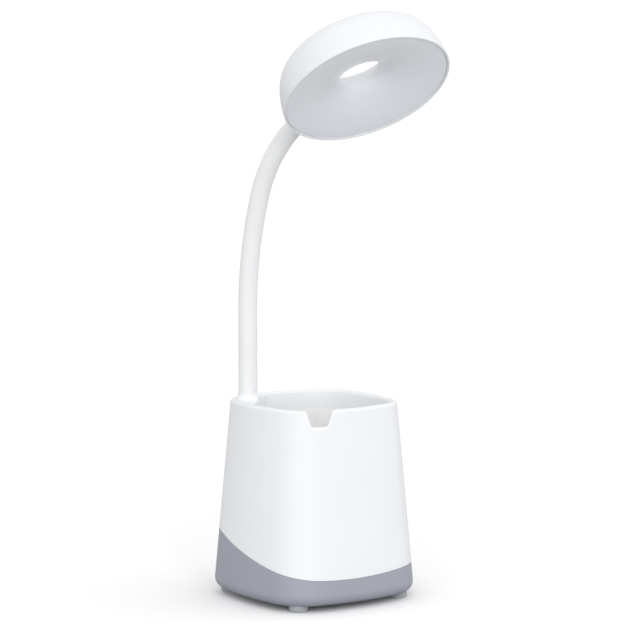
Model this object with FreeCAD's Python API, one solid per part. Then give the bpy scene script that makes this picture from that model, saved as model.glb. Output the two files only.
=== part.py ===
import FreeCAD, Part
import math
import os

# Desk lamp with a pen-pot base, a flexible neck and a ring-shaped head.
# Millimetres. The origin is on the desk, under the middle of the pot.
# +Z is up, -Y is the front, and the neck stands in the back left corner of the pot.

Vector = FreeCAD.Vector
UP = Vector(0, 0, 1)
RIGHT = Vector(1, 0, 0)
BACK = Vector(0, 1, 0)
ORIGIN = Vector(0, 0, 0)

# Extra length of a cutting tool past what it cuts.
OVERRUN = 2.0
# Running gap between pieces that move past each other.
RUNNING_GAP = 0.3
# Gap between fixed pieces that slide into each other on assembly.
FIT_GAP = 0.1

# Pot: a rounded square with bulged sides, wider at the desk than at the rim.
POT_HEIGHT = 121.5
POT_HALF_WIDTH = 43.3
POT_SPREAD = 9.4
POT_CORNER_RADIUS = 23.2
POT_CORNER_RADIUS_SPREAD = 5.1
POT_SIDE_BULGE = 2.45
POT_WALL = 2.2
RIM_WIDTH = 4.8
RIM_BAND_HEIGHT = 12.0
RIM_ROUNDING = 2.0

# Notch in the front rim, cut towards the middle of the pot.
NOTCH_AZIMUTH = 239.3
NOTCH_TOP_WIDTH = 16.0
NOTCH_BOTTOM_WIDTH = 9.5
NOTCH_DEPTH = 10.0
NOTCH_BOTTOM_ROUNDING = 2.0

# Corner deck that the neck stands on, and the column below it.
NECK_HEADING = 135.0
NECK_INSET = 10.4
COLUMN_DEPTH = 7.2
DECK_DROP = 1.2
DECK_THICKNESS = 3.8
SKIRT_HEIGHT = 3.0
SKIRT_TOP_RADIUS = 6.4
NECK_SEAT_DEPTH = 5.0
SHELF_THICKNESS = 3.0

# Cup liner: the inner wall and floor of the pen pot.
LINER_WALL = 2.2
LINER_FLOOR_HEIGHT = 46.0
LINER_DRAFT = 1.5

# Lower housing and its curved parting line, an arc about a level axis.
HOUSING_LIFT = 3.5
HOUSING_FLOOR = 2.5
HOUSING_WALL = 3.8
HOUSING_EDGE_ROUNDING = 6.5
PARTING_LOW_HEIGHT = 19.0
PARTING_LOW_REACH = 30.0
PARTING_RADIUS = 186.0
SEAM_GAP = 0.1
TONGUE_HEIGHT = 2.5
POST_RADIUS = 3.0
POST_INSET = 3.95
POST_SPREAD = 16.0

# Feet, and the screws above them that hold the housing to the shell.
FOOT_RADIUS = 6.0
FOOT_INSET = 10.6
FOOT_CHAMFER = 0.4
FOOT_POCKET_DEPTH = 1.2
PAD_RADIUS = 5.0
PAD_HEIGHT = 3.0
BOSS_RADIUS = 3.6
RIB_THICKNESS = 1.6
RIB_HEIGHT = 12.0
SCREW_HEAD_RADIUS = 2.8
SCREW_HEAD_HEIGHT = 1.8
SCREW_SHANK_RADIUS = 1.4
SCREW_LENGTH = 14.0

# Weight, cell and holder on the floor of the housing.
BALLAST_LENGTH = 76.0
BALLAST_WIDTH = 50.0
BALLAST_THICKNESS = 4.0
BALLAST_SETBACK = 4.0
CELL_RADIUS = 9.1
CELL_LENGTH = 65.0
CELL_CAP_RADIUS = 3.0
CELL_CAP_LENGTH = 1.0
CRADLE_WALL = 1.6
CRADLE_END_HEIGHT = 16.0
CRADLE_RAIL_HEIGHT = 8.0

# Control panel in the back of the housing.
PANEL_CENTRE_X = -16.0
PANEL_CENTRE_HEIGHT = 19.0
PANEL_LENGTH = 36.0
PANEL_BREADTH = 12.0
PANEL_SINK = 5.65
PANEL_WALL = 2.4
PANEL_RIM = 2.0
BUTTON_OFFSET = 8.5
BUTTON_RADIUS = 4.6
BUTTON_PROUD = 1.6
BUTTON_FLANGE_RADIUS = 5.4
BUTTON_FLANGE_THICKNESS = 1.0
BUTTON_STEM_RADIUS = 2.0
BUTTON_EDGE_ROUNDING = 0.6
BUTTON_TRAVEL = 0.8
BOARD_THICKNESS = 1.6
BOARD_SETBACK = 7.7
BOARD_HEIGHT = 18.0
BOARD_MARGIN = 1.0
BOARD_SCREW_INSET = 3.0
BOARD_BOSS_RADIUS = 2.4
BOARD_SCREW_HEAD_RADIUS = 1.9
BOARD_SCREW_HEAD_HEIGHT = 1.2
BOARD_SCREW_SHANK_RADIUS = 1.0
BOARD_SCREW_LENGTH = 5.0
SWITCH_SIDE = 6.0
SWITCH_HEIGHT = 3.5
PLUNGER_RADIUS = 1.7
PLUNGER_SEAT = 1.3
SOCKET_OFFSET = -9.5
SOCKET_WIDTH = 8.94
SOCKET_HEIGHT = 3.26
SOCKET_WALL = 0.3
SOCKET_TONGUE_WIDTH = 6.6
SOCKET_TONGUE_THICKNESS = 0.7
SOCKET_SINK = 0.3
SOCKET_BACK_THICKNESS = 1.5

# Neck: a straight stretch, a gentle arc and a tight arc in one upright plane.
NECK_LEAN_AZIMUTH = -72.0
NECK_STRAIGHT_LENGTH = 54.0
NECK_GENTLE_RADIUS = 270.0
NECK_GENTLE_TURN = 15.4
NECK_TIGHT_RADIUS = 88.0
NECK_TIGHT_TURN = 38.7
SLEEVE_RADIUS = 5.75
CORE_RADIUS = 3.9
CORE_BORE_RADIUS = 2.2
NECK_JOINT_COUNT = 8
FIRST_JOINT_LENGTH = 15.0
LAST_JOINT_SETBACK = 11.0
KNUCKLE_RADIUS = 6.6
STEM_WALL = 0.7
STEM_TAIL = 12.5
CORE_CRIMP_LENGTH = 13.0
NUT_RADIUS = 7.0
NUT_HEIGHT = 5.5
WASHER_THICKNESS = 1.0

# Head: a ring with a domed top and a hole through its middle.
HEAD_RADIUS = 51.7
HEAD_ROLL = 13.4
HEAD_HEIGHT = 28.5
HEAD_WALL = 1.8
HEAD_LIP = 1.3
HEAD_LIP_HEIGHT = 2.0
HOLE_RADIUS = 13.1
HOLE_TOP_HEIGHT = 16.5
HOLE_BOTTOM_HEIGHT = 12.8
NECK_HEIGHT_IN_HEAD = 15.0
# Points of the domed top, from the rim to the hole: radius as a share of the way
# from the hole to the rim, height as a share of the head's height, and the
# direction that the surface faces, in degrees up from level.
DOME_SHARES = (
    (0.992, 0.20, 4.0),
    (0.953, 0.49, 14.0),
    (0.883, 0.74, 30.0),
    (0.750, 0.92, 58.0),
    (0.542, 1.00, 90.0),
    (0.334, 0.95, 113.0),
    (0.155, 0.80, 135.0),
    (0.040, 0.66, 155.0),
)
# Points of the diffuser's lit face: radius share as above, height as a share of
# the hole's lower edge.
DIFFUSER_SHARES = (
    (0.84, 0.075),
    (0.62, 0.17),
    (0.40, 0.34),
    (0.21, 0.58),
    (0.07, 0.84),
)
DIFFUSER_WALL = 1.6
DIFFUSER_SINK = 0.8
DIFFUSER_SKIRT = 3.4
LED_BOARD_INNER_RADIUS = 20.0
LED_BOARD_OUTER_RADIUS = 38.0
LED_BOARD_HEIGHT = 17.5
LED_COUNT = 24
LED_CIRCLE_RADIUS = 34.0
LED_LENGTH = 3.5
LED_WIDTH = 2.8
LED_HEIGHT = 0.8
LED_SCREW_CIRCLE_RADIUS = 25.5
LED_SCREW_COUNT = 3
LED_BOSS_RADIUS = 2.6
FERRULE_RADIUS = 5.2
CLAMP_BOARD_GAP = 2.4
CLAMP_LENGTH = 6.0
CLAMP_WIDTH = 20.0
CLAMP_DEPTH = 7.0
CLAMP_SCREW_SPREAD = 7.6
CLAMP_SCREW_LENGTH = 9.0

# Sizes that follow from the ones above.
POT_SIDE_REACH_AT_RIM = POT_HALF_WIDTH + POT_SIDE_BULGE
POT_SIDE_REACH_AT_DESK = POT_SIDE_REACH_AT_RIM + POT_SPREAD
POT_CORNER_REACH_AT_RIM = (POT_HALF_WIDTH - POT_CORNER_RADIUS) * math.sqrt(2) + POT_CORNER_RADIUS
POT_CORNER_REACH_AT_DESK = ((POT_HALF_WIDTH + POT_SPREAD - POT_CORNER_RADIUS - POT_CORNER_RADIUS_SPREAD)
                            * math.sqrt(2) + POT_CORNER_RADIUS + POT_CORNER_RADIUS_SPREAD)
NECK_CORNER = Vector(math.cos(math.radians(NECK_HEADING)), math.sin(math.radians(NECK_HEADING)), 0)
NECK_AXIS_REACH = POT_CORNER_REACH_AT_RIM - NECK_INSET
COLUMN_FACE_REACH = NECK_AXIS_REACH - COLUMN_DEPTH
FOOT_REACH = POT_CORNER_REACH_AT_DESK - FOOT_INSET
POST_SIDE_REACH = POT_SIDE_REACH_AT_RIM - RIM_WIDTH - POST_INSET
PANEL_FACE_Y = POT_SIDE_REACH_AT_DESK - PANEL_SINK
HOUSING_FLOOR_TOP = HOUSING_LIFT + HOUSING_FLOOR
FOOT_HEIGHT = HOUSING_LIFT + FOOT_POCKET_DEPTH
PAD_TOP = HOUSING_FLOOR_TOP + PAD_HEIGHT
RIM_BAND_BOTTOM = POT_HEIGHT - RIM_BAND_HEIGHT
DECK_TOP = POT_HEIGHT - DECK_DROP
DECK_BOTTOM = DECK_TOP - DECK_THICKNESS
SKIRT_TOP = POT_HEIGHT + SKIRT_HEIGHT
NECK_SEAT_HEIGHT = SKIRT_TOP - NECK_SEAT_DEPTH
COLUMN_BACK_REACH = COLUMN_FACE_REACH + LINER_WALL
SHELF_BOTTOM = LINER_FLOOR_HEIGHT - RUNNING_GAP
BALLAST_TOP = HOUSING_FLOOR_TOP + BALLAST_THICKNESS
CELL_AXIS_HEIGHT = BALLAST_TOP + CRADLE_WALL + CELL_RADIUS + FIT_GAP
PANEL_BACK_Y = PANEL_FACE_Y - PANEL_WALL
BOARD_FACE_Y = PANEL_BACK_Y - BOARD_SETBACK
BOARD_BACK_Y = BOARD_FACE_Y - BOARD_THICKNESS
BUTTON_X = PANEL_CENTRE_X + BUTTON_OFFSET
SOCKET_X = PANEL_CENTRE_X + SOCKET_OFFSET
SWITCH_FRONT_Y = BOARD_FACE_Y + SWITCH_HEIGHT
BUTTON_FLANGE_BACK_Y = PANEL_BACK_Y - RUNNING_GAP - BUTTON_FLANGE_THICKNESS
BUTTON_STEM_END_Y = SWITCH_FRONT_Y + BUTTON_TRAVEL + RUNNING_GAP
CORE_SEAT_RADIUS = CORE_RADIUS + FIT_GAP
STEM_RADIUS = CORE_SEAT_RADIUS + STEM_WALL
WASHER_TOP = SHELF_BOTTOM
NUT_TOP = WASHER_TOP - WASHER_THICKNESS
STEM_BOTTOM = WASHER_TOP - STEM_TAIL
NECK_GENTLE_LENGTH = NECK_GENTLE_RADIUS * math.radians(NECK_GENTLE_TURN)
NECK_TIGHT_LENGTH = NECK_TIGHT_RADIUS * math.radians(NECK_TIGHT_TURN)
NECK_LENGTH = NECK_STRAIGHT_LENGTH + NECK_GENTLE_LENGTH + NECK_TIGHT_LENGTH
LAST_JOINT_LENGTH = NECK_LENGTH - LAST_JOINT_SETBACK
JOINT_PITCH = (LAST_JOINT_LENGTH - FIRST_JOINT_LENGTH) / (NECK_JOINT_COUNT - 1)
JOINT_LENGTHS = [FIRST_JOINT_LENGTH + k * JOINT_PITCH for k in range(NECK_JOINT_COUNT)]
DIFFUSER_TOP = HOLE_BOTTOM_HEIGHT - FIT_GAP
LED_BOARD_TOP = LED_BOARD_HEIGHT + BOARD_THICKNESS
CLAMP_OUTER_X = -(LED_BOARD_OUTER_RADIUS + CLAMP_BOARD_GAP + CLAMP_LENGTH)


def polar(reach, degrees, height=0.0):
    """A point at a distance and a bearing from the pot's axis."""
    angle = math.radians(degrees)
    return Vector(reach * math.cos(angle), reach * math.sin(angle), height)


def cylinder(radius, base, axis, length):
    return Part.makeCylinder(radius, length, base, axis)


def block(x_span, y_span, z_span):
    """A box between two values along each axis."""
    size = [span[1] - span[0] for span in (x_span, y_span, z_span)]
    return Part.makeBox(*size, Vector(x_span[0], y_span[0], z_span[0]))


def turned_block(heading, reach_span, width, z_span):
    """A box that points along a bearing, from one reach to another."""
    box = block(reach_span, (-width / 2, width / 2), z_span)
    box.rotate(ORIGIN, UP, heading)
    return box


def corner_block(reach_span, width, z_span):
    """A box square to the neck's diagonal: reach is measured towards the neck corner."""
    return turned_block(NECK_HEADING, reach_span, width, z_span)


def fuse(shapes):
    """One clean solid from shapes that touch or overlap."""
    whole = shapes[0]
    if len(shapes) > 1:
        whole = whole.multiFuse(shapes[1:])
    return whole.removeSplitter()


def group(shapes):
    """Separate solids that share one node."""
    return Part.makeCompound(shapes)


def rounded_square(half_width, corner_radius, height):
    """Closed outline of four corner arcs and four bulged side arcs that meet smoothly."""
    offset = half_width - corner_radius
    side_radius = corner_radius + POT_SIDE_BULGE / 2 + offset ** 2 / (2 * POT_SIDE_BULGE)
    setback = side_radius - half_width - POT_SIDE_BULGE
    corner_half = math.atan2(setback / math.sqrt(2), offset * math.sqrt(2) + setback / math.sqrt(2))
    edges = []
    for quarter in range(4):
        heading = math.radians(45 + 90 * quarter)
        corner_centre = Vector(math.cos(heading), math.sin(heading), 0) * (offset * math.sqrt(2))
        corner_centre.z = height
        arc = [heading + turn * corner_half for turn in (-1, 0, 1)]
        edges.append(arc_edge(corner_centre, corner_radius, arc))
        side_heading = heading + math.pi / 4
        side_centre = Vector(-setback * math.cos(side_heading), -setback * math.sin(side_heading), height)
        arc = [heading + corner_half, side_heading, side_heading + math.pi / 4 - corner_half]
        edges.append(arc_edge(side_centre, side_radius, arc))
    return Part.Wire(edges)


def arc_edge(centre, radius, angles):
    points = [centre + Vector(radius * math.cos(a), radius * math.sin(a), 0) for a in angles]
    return Part.Arc(*points).toShape()


def pot_outline(height, inset):
    """Outline of the pot's outer skin at a height, moved inwards by a wall."""
    drop_share = 1 - height / POT_HEIGHT
    half_width = POT_HALF_WIDTH + POT_SPREAD * drop_share - inset
    corner_radius = POT_CORNER_RADIUS + POT_CORNER_RADIUS_SPREAD * drop_share - inset
    return rounded_square(half_width, corner_radius, height)


def slab(bottom, top):
    """Level slab wider than the pot."""
    half = 2 * POT_CORNER_REACH_AT_DESK
    return block((-half, half), (-half, half), (bottom, top))


def pot_body(bottom, top, inset=0.0):
    """Tapered solid inside the pot's outer skin, between two heights."""
    ends = [pot_outline(height, inset) for height in (-2 * OVERRUN, SKIRT_TOP + 2 * OVERRUN)]
    return Part.makeLoft(ends, True, True).common(slab(bottom, top))


def mouth_outline(height, inset):
    """Outline of the pot's mouth, upright below the rim."""
    wall = RIM_WIDTH + inset
    return rounded_square(POT_HALF_WIDTH - wall, POT_CORNER_RADIUS - wall, height)


def mouth_body(bottom, top):
    face = Part.Face(mouth_outline(bottom, 0.0))
    return face.extrude(Vector(0, 0, top - bottom))


def liner_body(bottom, top, outset):
    """Solid inside the cup liner, drawn in a little towards its floor."""
    def outline(height):
        drop = (RIM_BAND_BOTTOM - height) / (RIM_BAND_BOTTOM - LINER_FLOOR_HEIGHT)
        return mouth_outline(height, LINER_DRAFT * drop - outset)

    return Part.makeLoft([outline(bottom), outline(top)], True, True)


def parting_drum(radius):
    """Solid above the parting line: a drum that lies square to the neck's diagonal."""
    length = 4 * POT_CORNER_REACH_AT_DESK
    across = Vector(1, 1, 0).normalize()
    middle = NECK_CORNER * -PARTING_LOW_REACH
    middle.z = PARTING_LOW_HEIGHT + PARTING_RADIUS
    return cylinder(radius, middle - across * (length / 2), across, length)


def foot_headings():
    return [NECK_HEADING + 90 * k for k in range(4)]


def foot_places():
    return [polar(FOOT_REACH, heading) for heading in foot_headings()]


def boss_ribs():
    """Ribs from the screw bosses to the wall; the shelf holds the boss in the neck's corner."""
    rib_span = (FOOT_REACH, 2 * POT_CORNER_REACH_AT_DESK)
    levels = (SHELF_BOTTOM - RIB_HEIGHT, SHELF_BOTTOM)
    return [turned_block(heading, rib_span, RIB_THICKNESS, levels) for heading in foot_headings()[1:]]


def raised(point, height):
    return Vector(point.x, point.y, height)


def obround(length, breadth, centre, depth):
    """Bar with round ends, long in X, standing out along +Y from its centre."""
    radius = breadth / 2
    straight = length - breadth
    middle = block((centre.x - straight / 2, centre.x + straight / 2), (centre.y, centre.y + depth),
                   (centre.z - radius, centre.z + radius))
    ends = [cylinder(radius, centre + RIGHT * (side * straight / 2), BACK, depth) for side in (-1, 1)]
    return fuse([middle] + ends)


def notch_tool():
    """Prism that cuts the notch, from the pot's axis out through the rim."""
    top = POT_HEIGHT + OVERRUN
    slope = (NOTCH_TOP_WIDTH - NOTCH_BOTTOM_WIDTH) / (2 * NOTCH_DEPTH)
    half_top = NOTCH_TOP_WIDTH / 2 + slope * OVERRUN
    half_bottom = NOTCH_BOTTOM_WIDTH / 2
    bottom = POT_HEIGHT - NOTCH_DEPTH
    corners = [Vector(0, -half_top, top), Vector(0, -half_bottom, bottom),
               Vector(0, half_bottom, bottom), Vector(0, half_top, top)]
    face = Part.Face(Part.makePolygon(corners + corners[:1]))
    prism = face.extrude(RIGHT * (POT_CORNER_REACH_AT_RIM + OVERRUN))
    floor_edges = [edge for edge in prism.Edges
                   if edge.BoundBox.ZMax < bottom + NOTCH_BOTTOM_ROUNDING
                   and edge.BoundBox.XLength > POT_CORNER_REACH_AT_RIM]
    prism = prism.makeFillet(NOTCH_BOTTOM_ROUNDING, floor_edges)
    prism.rotate(ORIGIN, UP, NOTCH_AZIMUTH)
    return prism


def neck_foot(height):
    point = NECK_CORNER * NECK_AXIS_REACH
    point.z = height
    return point


def skirt():
    """Flared foot of the neck: a concave quarter round that runs out onto the deck."""
    flare = SKIRT_TOP - DECK_TOP
    top = Vector(SKIRT_TOP_RADIUS, 0, SKIRT_TOP)
    foot = Vector(SKIRT_TOP_RADIUS + flare, 0, DECK_TOP)
    lean = flare * math.sqrt(0.5)
    waist = Vector(SKIRT_TOP_RADIUS + flare - lean, 0, SKIRT_TOP - lean)
    edges = [
        Part.Arc(top, waist, foot).toShape(),
        Part.makeLine(foot, Vector(foot.x, 0, DECK_BOTTOM)),
        Part.makeLine(Vector(foot.x, 0, DECK_BOTTOM), Vector(0, 0, DECK_BOTTOM)),
        Part.makeLine(Vector(0, 0, DECK_BOTTOM), Vector(0, 0, SKIRT_TOP)),
        Part.makeLine(Vector(0, 0, SKIRT_TOP), top),
    ]
    solid = Part.Face(Part.Wire(edges)).revolve(ORIGIN, UP, 360)
    solid.translate(neck_foot(0))
    return solid


def round_rim(shell):
    """Round the two long edges of the rim's flat top."""
    edges = [edge for edge in shell.Edges
             if edge.BoundBox.ZMin > POT_HEIGHT - FIT_GAP and edge.BoundBox.ZMax < POT_HEIGHT + FIT_GAP]
    return shell.makeFillet(RIM_ROUNDING, edges)


def pot_shell():
    """White outer shell with its rim, corner deck, neck skirt, shelf and screw bosses."""
    wide = 4 * POT_CORNER_REACH_AT_DESK
    rim = round_rim(pot_body(0, POT_HEIGHT).cut(mouth_body(-OVERRUN, POT_HEIGHT + OVERRUN)))
    rim = rim.cut(pot_body(-OVERRUN, RIM_BAND_BOTTOM, POT_WALL))
    inside = pot_body(0, POT_HEIGHT, POT_WALL / 2)
    deck = inside.common(corner_block((COLUMN_FACE_REACH, wide), wide, (DECK_BOTTOM, DECK_TOP)))
    wall_span = (COLUMN_FACE_REACH, COLUMN_BACK_REACH)
    wall = inside.common(corner_block(wall_span, wide, (RIM_BAND_BOTTOM, DECK_TOP)))
    shelf_reach = COLUMN_BACK_REACH + RUNNING_GAP
    shelf_levels = (SHELF_BOTTOM, SHELF_BOTTOM + SHELF_THICKNESS)
    shelf = inside.common(corner_block((shelf_reach, wide), wide, shelf_levels))
    flare = skirt().common(pot_body(0, SKIRT_TOP)).common(
        corner_block((COLUMN_FACE_REACH, wide), wide, (DECK_BOTTOM, SKIRT_TOP)))
    upper = fuse([rim, deck, wall, shelf, flare])
    upper = upper.common(parting_drum(PARTING_RADIUS - SEAM_GAP / 2))
    boss_height = SHELF_BOTTOM + SHELF_THICKNESS / 2 - PAD_TOP
    bosses = [cylinder(BOSS_RADIUS, raised(place, PAD_TOP), UP, boss_height) for place in foot_places()]
    ribs = [rib.common(inside) for rib in boss_ribs()]
    shell = fuse([upper] + bosses + ribs)
    pilot_radius = SCREW_SHANK_RADIUS + FIT_GAP / 2
    for place in foot_places():
        shell = shell.cut(cylinder(pilot_radius, raised(place, PAD_TOP), UP, SCREW_LENGTH + FIT_GAP))
    seat_depth = NECK_SEAT_DEPTH + OVERRUN
    shell = shell.cut(cylinder(SLEEVE_RADIUS + FIT_GAP, neck_foot(NECK_SEAT_HEIGHT), UP, seat_depth))
    shell = shell.cut(cylinder(STEM_RADIUS + FIT_GAP, neck_foot(0), UP, POT_HEIGHT))
    return shell.cut(notch_tool())


def cup_liner():
    """Inner wall and floor of the pen pot, flat in front of the neck's column."""
    wide = 4 * POT_CORNER_REACH_AT_DESK
    span = (LINER_FLOOR_HEIGHT, RIM_BAND_BOTTOM)
    outer = liner_body(*span, LINER_WALL).cut(corner_block((COLUMN_BACK_REACH, wide), wide, span))
    hollow_span = (LINER_FLOOR_HEIGHT + LINER_WALL, RIM_BAND_BOTTOM + OVERRUN)
    hollow = liner_body(*hollow_span, 0.0).cut(corner_block((COLUMN_FACE_REACH, wide), wide, hollow_span))
    return outer.cut(hollow)


def post_places():
    """Posts on the housing's floor that the cup's floor rests on."""
    return [Vector(-POST_SPREAD, -POST_SIDE_REACH, 0), Vector(POST_SPREAD, -POST_SIDE_REACH, 0),
            Vector(POST_SPREAD, POST_SIDE_REACH - POST_RADIUS, 0)]


def board_screw_places():
    """Upper left and lower right corners of the control board."""
    left, right = board_span()
    bottom = PANEL_CENTRE_HEIGHT - BOARD_HEIGHT / 2
    top = PANEL_CENTRE_HEIGHT + BOARD_HEIGHT / 2
    return [Vector(left + BOARD_SCREW_INSET, BOARD_FACE_Y, top - BOARD_SCREW_INSET),
            Vector(right - BOARD_SCREW_INSET, BOARD_FACE_Y, bottom + BOARD_SCREW_INSET)]


def board_span():
    half = PANEL_LENGTH / 2 - BOARD_MARGIN
    return PANEL_CENTRE_X - half, PANEL_CENTRE_X + half


def lower_housing():
    """Grey tub: rounded lower edge, curved top edge with a tongue, and the control panel."""
    skin = pot_body(HOUSING_LIFT, POT_HEIGHT)
    floor_edges = [edge for edge in skin.Edges if edge.BoundBox.ZMax < HOUSING_LIFT + FIT_GAP]
    skin = skin.makeFillet(HOUSING_EDGE_ROUNDING, floor_edges)
    hollow = pot_body(HOUSING_FLOOR_TOP, POT_HEIGHT + OVERRUN, HOUSING_WALL)
    lower = skin.cut(hollow).cut(parting_drum(PARTING_RADIUS + SEAM_GAP / 2))
    tongue_gap = POT_WALL + 2 * FIT_GAP
    tongue = pot_body(HOUSING_FLOOR_TOP, POT_HEIGHT, tongue_gap).cut(hollow)
    tongue = tongue.cut(parting_drum(PARTING_RADIUS - TONGUE_HEIGHT))
    pads = [cylinder(PAD_RADIUS, raised(place, FOOT_HEIGHT), UP, PAD_TOP - FOOT_HEIGHT)
            for place in foot_places()]
    posts = [cylinder(POST_RADIUS, raised(place, FOOT_HEIGHT), UP, LINER_FLOOR_HEIGHT - FOOT_HEIGHT)
             for place in post_places()]
    inner_skin = pot_body(HOUSING_LIFT, POT_HEIGHT, POT_WALL)
    panel_centre = Vector(PANEL_CENTRE_X, PANEL_BACK_Y, PANEL_CENTRE_HEIGHT)
    panel = obround(PANEL_LENGTH + 2 * PANEL_RIM, PANEL_BREADTH + 2 * PANEL_RIM, panel_centre,
                    POT_SIDE_REACH_AT_DESK - PANEL_BACK_Y).common(inner_skin)
    boss_length = PANEL_FACE_Y - PANEL_WALL / 2 - BOARD_FACE_Y
    board_bosses = [cylinder(BOARD_BOSS_RADIUS, place, BACK, boss_length) for place in board_screw_places()]
    housing = fuse([lower, tongue, panel] + pads + posts + board_bosses)
    face_centre = Vector(PANEL_CENTRE_X, PANEL_FACE_Y, PANEL_CENTRE_HEIGHT)
    housing = housing.cut(obround(PANEL_LENGTH, PANEL_BREADTH, face_centre, POT_SIDE_REACH_AT_DESK))
    for place in foot_places():
        housing = housing.cut(cylinder(BOSS_RADIUS + RUNNING_GAP, raised(place, PAD_TOP), UP, POT_HEIGHT))
    return cut_housing_holes(housing)


def cut_housing_holes(housing):
    """Foot pockets, screw holes, the button's hole and the socket's slot."""
    head_top = FOOT_HEIGHT + FIT_GAP + SCREW_HEAD_HEIGHT
    for place in foot_places():
        housing = housing.cut(cylinder(FOOT_RADIUS + FIT_GAP, raised(place, 0), UP, FOOT_HEIGHT))
        housing = housing.cut(cylinder(SCREW_HEAD_RADIUS + FIT_GAP, raised(place, 0), UP, head_top))
        housing = housing.cut(cylinder(SCREW_SHANK_RADIUS + FIT_GAP, raised(place, 0), UP, PAD_TOP))
    for place in board_screw_places():
        housing = housing.cut(cylinder(BOARD_SCREW_SHANK_RADIUS + FIT_GAP / 2, place, BACK,
                                       BOARD_SCREW_LENGTH - BOARD_THICKNESS))
    button_back = Vector(BUTTON_X, PANEL_BACK_Y - OVERRUN, PANEL_CENTRE_HEIGHT)
    through = PANEL_WALL + 2 * OVERRUN
    housing = housing.cut(cylinder(BUTTON_RADIUS + RUNNING_GAP, button_back, BACK, through))
    socket_back = Vector(SOCKET_X, PANEL_BACK_Y - OVERRUN, PANEL_CENTRE_HEIGHT)
    return housing.cut(obround(SOCKET_WIDTH + 2 * FIT_GAP, SOCKET_HEIGHT + 2 * FIT_GAP, socket_back, through))


def foot(place):
    """Round rubber foot, glued into its pocket."""
    disc = cylinder(FOOT_RADIUS, place, UP, FOOT_HEIGHT)
    return disc.makeChamfer(FOOT_CHAMFER, [edge for edge in disc.Edges if edge.BoundBox.ZMax < FOOT_CHAMFER])


def screw(place, axis, head_radius, head_height, shank_radius, length):
    """Pan-head screw: place is the underside of its head, axis points to its tip."""
    head = cylinder(head_radius, place - axis * head_height, axis, head_height)
    drive = cylinder(shank_radius / 2, place - axis * head_height, axis, head_height / 2)
    return head.cut(drive).fuse(cylinder(shank_radius, place, axis, length)).removeSplitter()


def housing_screws():
    head_top = FOOT_HEIGHT + FIT_GAP + SCREW_HEAD_HEIGHT
    length = PAD_TOP - head_top + SCREW_LENGTH
    return group([screw(raised(place, head_top), UP, SCREW_HEAD_RADIUS, SCREW_HEAD_HEIGHT,
                        SCREW_SHANK_RADIUS, length) for place in foot_places()])


def ballast_plate():
    return block((-BALLAST_LENGTH / 2, BALLAST_LENGTH / 2),
                 (-BALLAST_SETBACK - BALLAST_WIDTH / 2, -BALLAST_SETBACK + BALLAST_WIDTH / 2),
                 (HOUSING_FLOOR_TOP, BALLAST_TOP))


def battery_cell():
    """Round cell lying across the base, with its raised contact at one end."""
    start = Vector(-CELL_LENGTH / 2, -BALLAST_SETBACK, CELL_AXIS_HEIGHT)
    can = cylinder(CELL_RADIUS, start, RIGHT, CELL_LENGTH - CELL_CAP_LENGTH)
    cap = cylinder(CELL_CAP_RADIUS, start, RIGHT, CELL_LENGTH)
    return can.fuse(cap).removeSplitter()


def battery_cradle():
    """Open holder with a floor, two side rails and two end walls."""
    inner_x = CELL_LENGTH / 2 + FIT_GAP
    inner_y = CELL_RADIUS + FIT_GAP
    x_span = (-inner_x - CRADLE_WALL, inner_x + CRADLE_WALL)
    y_span = (-BALLAST_SETBACK - inner_y - CRADLE_WALL, -BALLAST_SETBACK + inner_y + CRADLE_WALL)
    base_top = BALLAST_TOP + CRADLE_WALL
    pieces = [block(x_span, y_span, (BALLAST_TOP, base_top))]
    for side in (0, 1):
        end = sorted((x_span[side], x_span[side] + (CRADLE_WALL if side == 0 else -CRADLE_WALL)))
        rail = sorted((y_span[side], y_span[side] + (CRADLE_WALL if side == 0 else -CRADLE_WALL)))
        pieces.append(block(end, y_span, (BALLAST_TOP, base_top + CRADLE_END_HEIGHT)))
        pieces.append(block(x_span, rail, (BALLAST_TOP, base_top + CRADLE_RAIL_HEIGHT)))
    return fuse(pieces)


def main_board():
    board = block(board_span(), (BOARD_BACK_Y, BOARD_FACE_Y),
                  (PANEL_CENTRE_HEIGHT - BOARD_HEIGHT / 2, PANEL_CENTRE_HEIGHT + BOARD_HEIGHT / 2))
    for place in board_screw_places():
        start = Vector(place.x, BOARD_BACK_Y, place.z)
        board = board.cut(cylinder(BOARD_SCREW_SHANK_RADIUS + FIT_GAP, start, BACK, BOARD_THICKNESS))
    return board


def board_screws():
    return group([screw(Vector(place.x, BOARD_BACK_Y, place.z), BACK, BOARD_SCREW_HEAD_RADIUS,
                        BOARD_SCREW_HEAD_HEIGHT, BOARD_SCREW_SHANK_RADIUS, BOARD_SCREW_LENGTH)
                  for place in board_screw_places()])


def tact_switch():
    """Square switch on the board, bored for its plunger."""
    half = SWITCH_SIDE / 2
    body = block((BUTTON_X - half, BUTTON_X + half), (BOARD_FACE_Y, SWITCH_FRONT_Y),
                 (PANEL_CENTRE_HEIGHT - half, PANEL_CENTRE_HEIGHT + half))
    depth = PLUNGER_SEAT + BUTTON_TRAVEL + RUNNING_GAP / 2
    bore_start = Vector(BUTTON_X, SWITCH_FRONT_Y - depth, PANEL_CENTRE_HEIGHT)
    return body.cut(cylinder(PLUNGER_RADIUS + FIT_GAP, bore_start, BACK, depth))


def switch_plunger():
    start = Vector(BUTTON_X, SWITCH_FRONT_Y - PLUNGER_SEAT, PANEL_CENTRE_HEIGHT)
    return cylinder(PLUNGER_RADIUS, start, BACK, BUTTON_STEM_END_Y - start.y)


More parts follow.
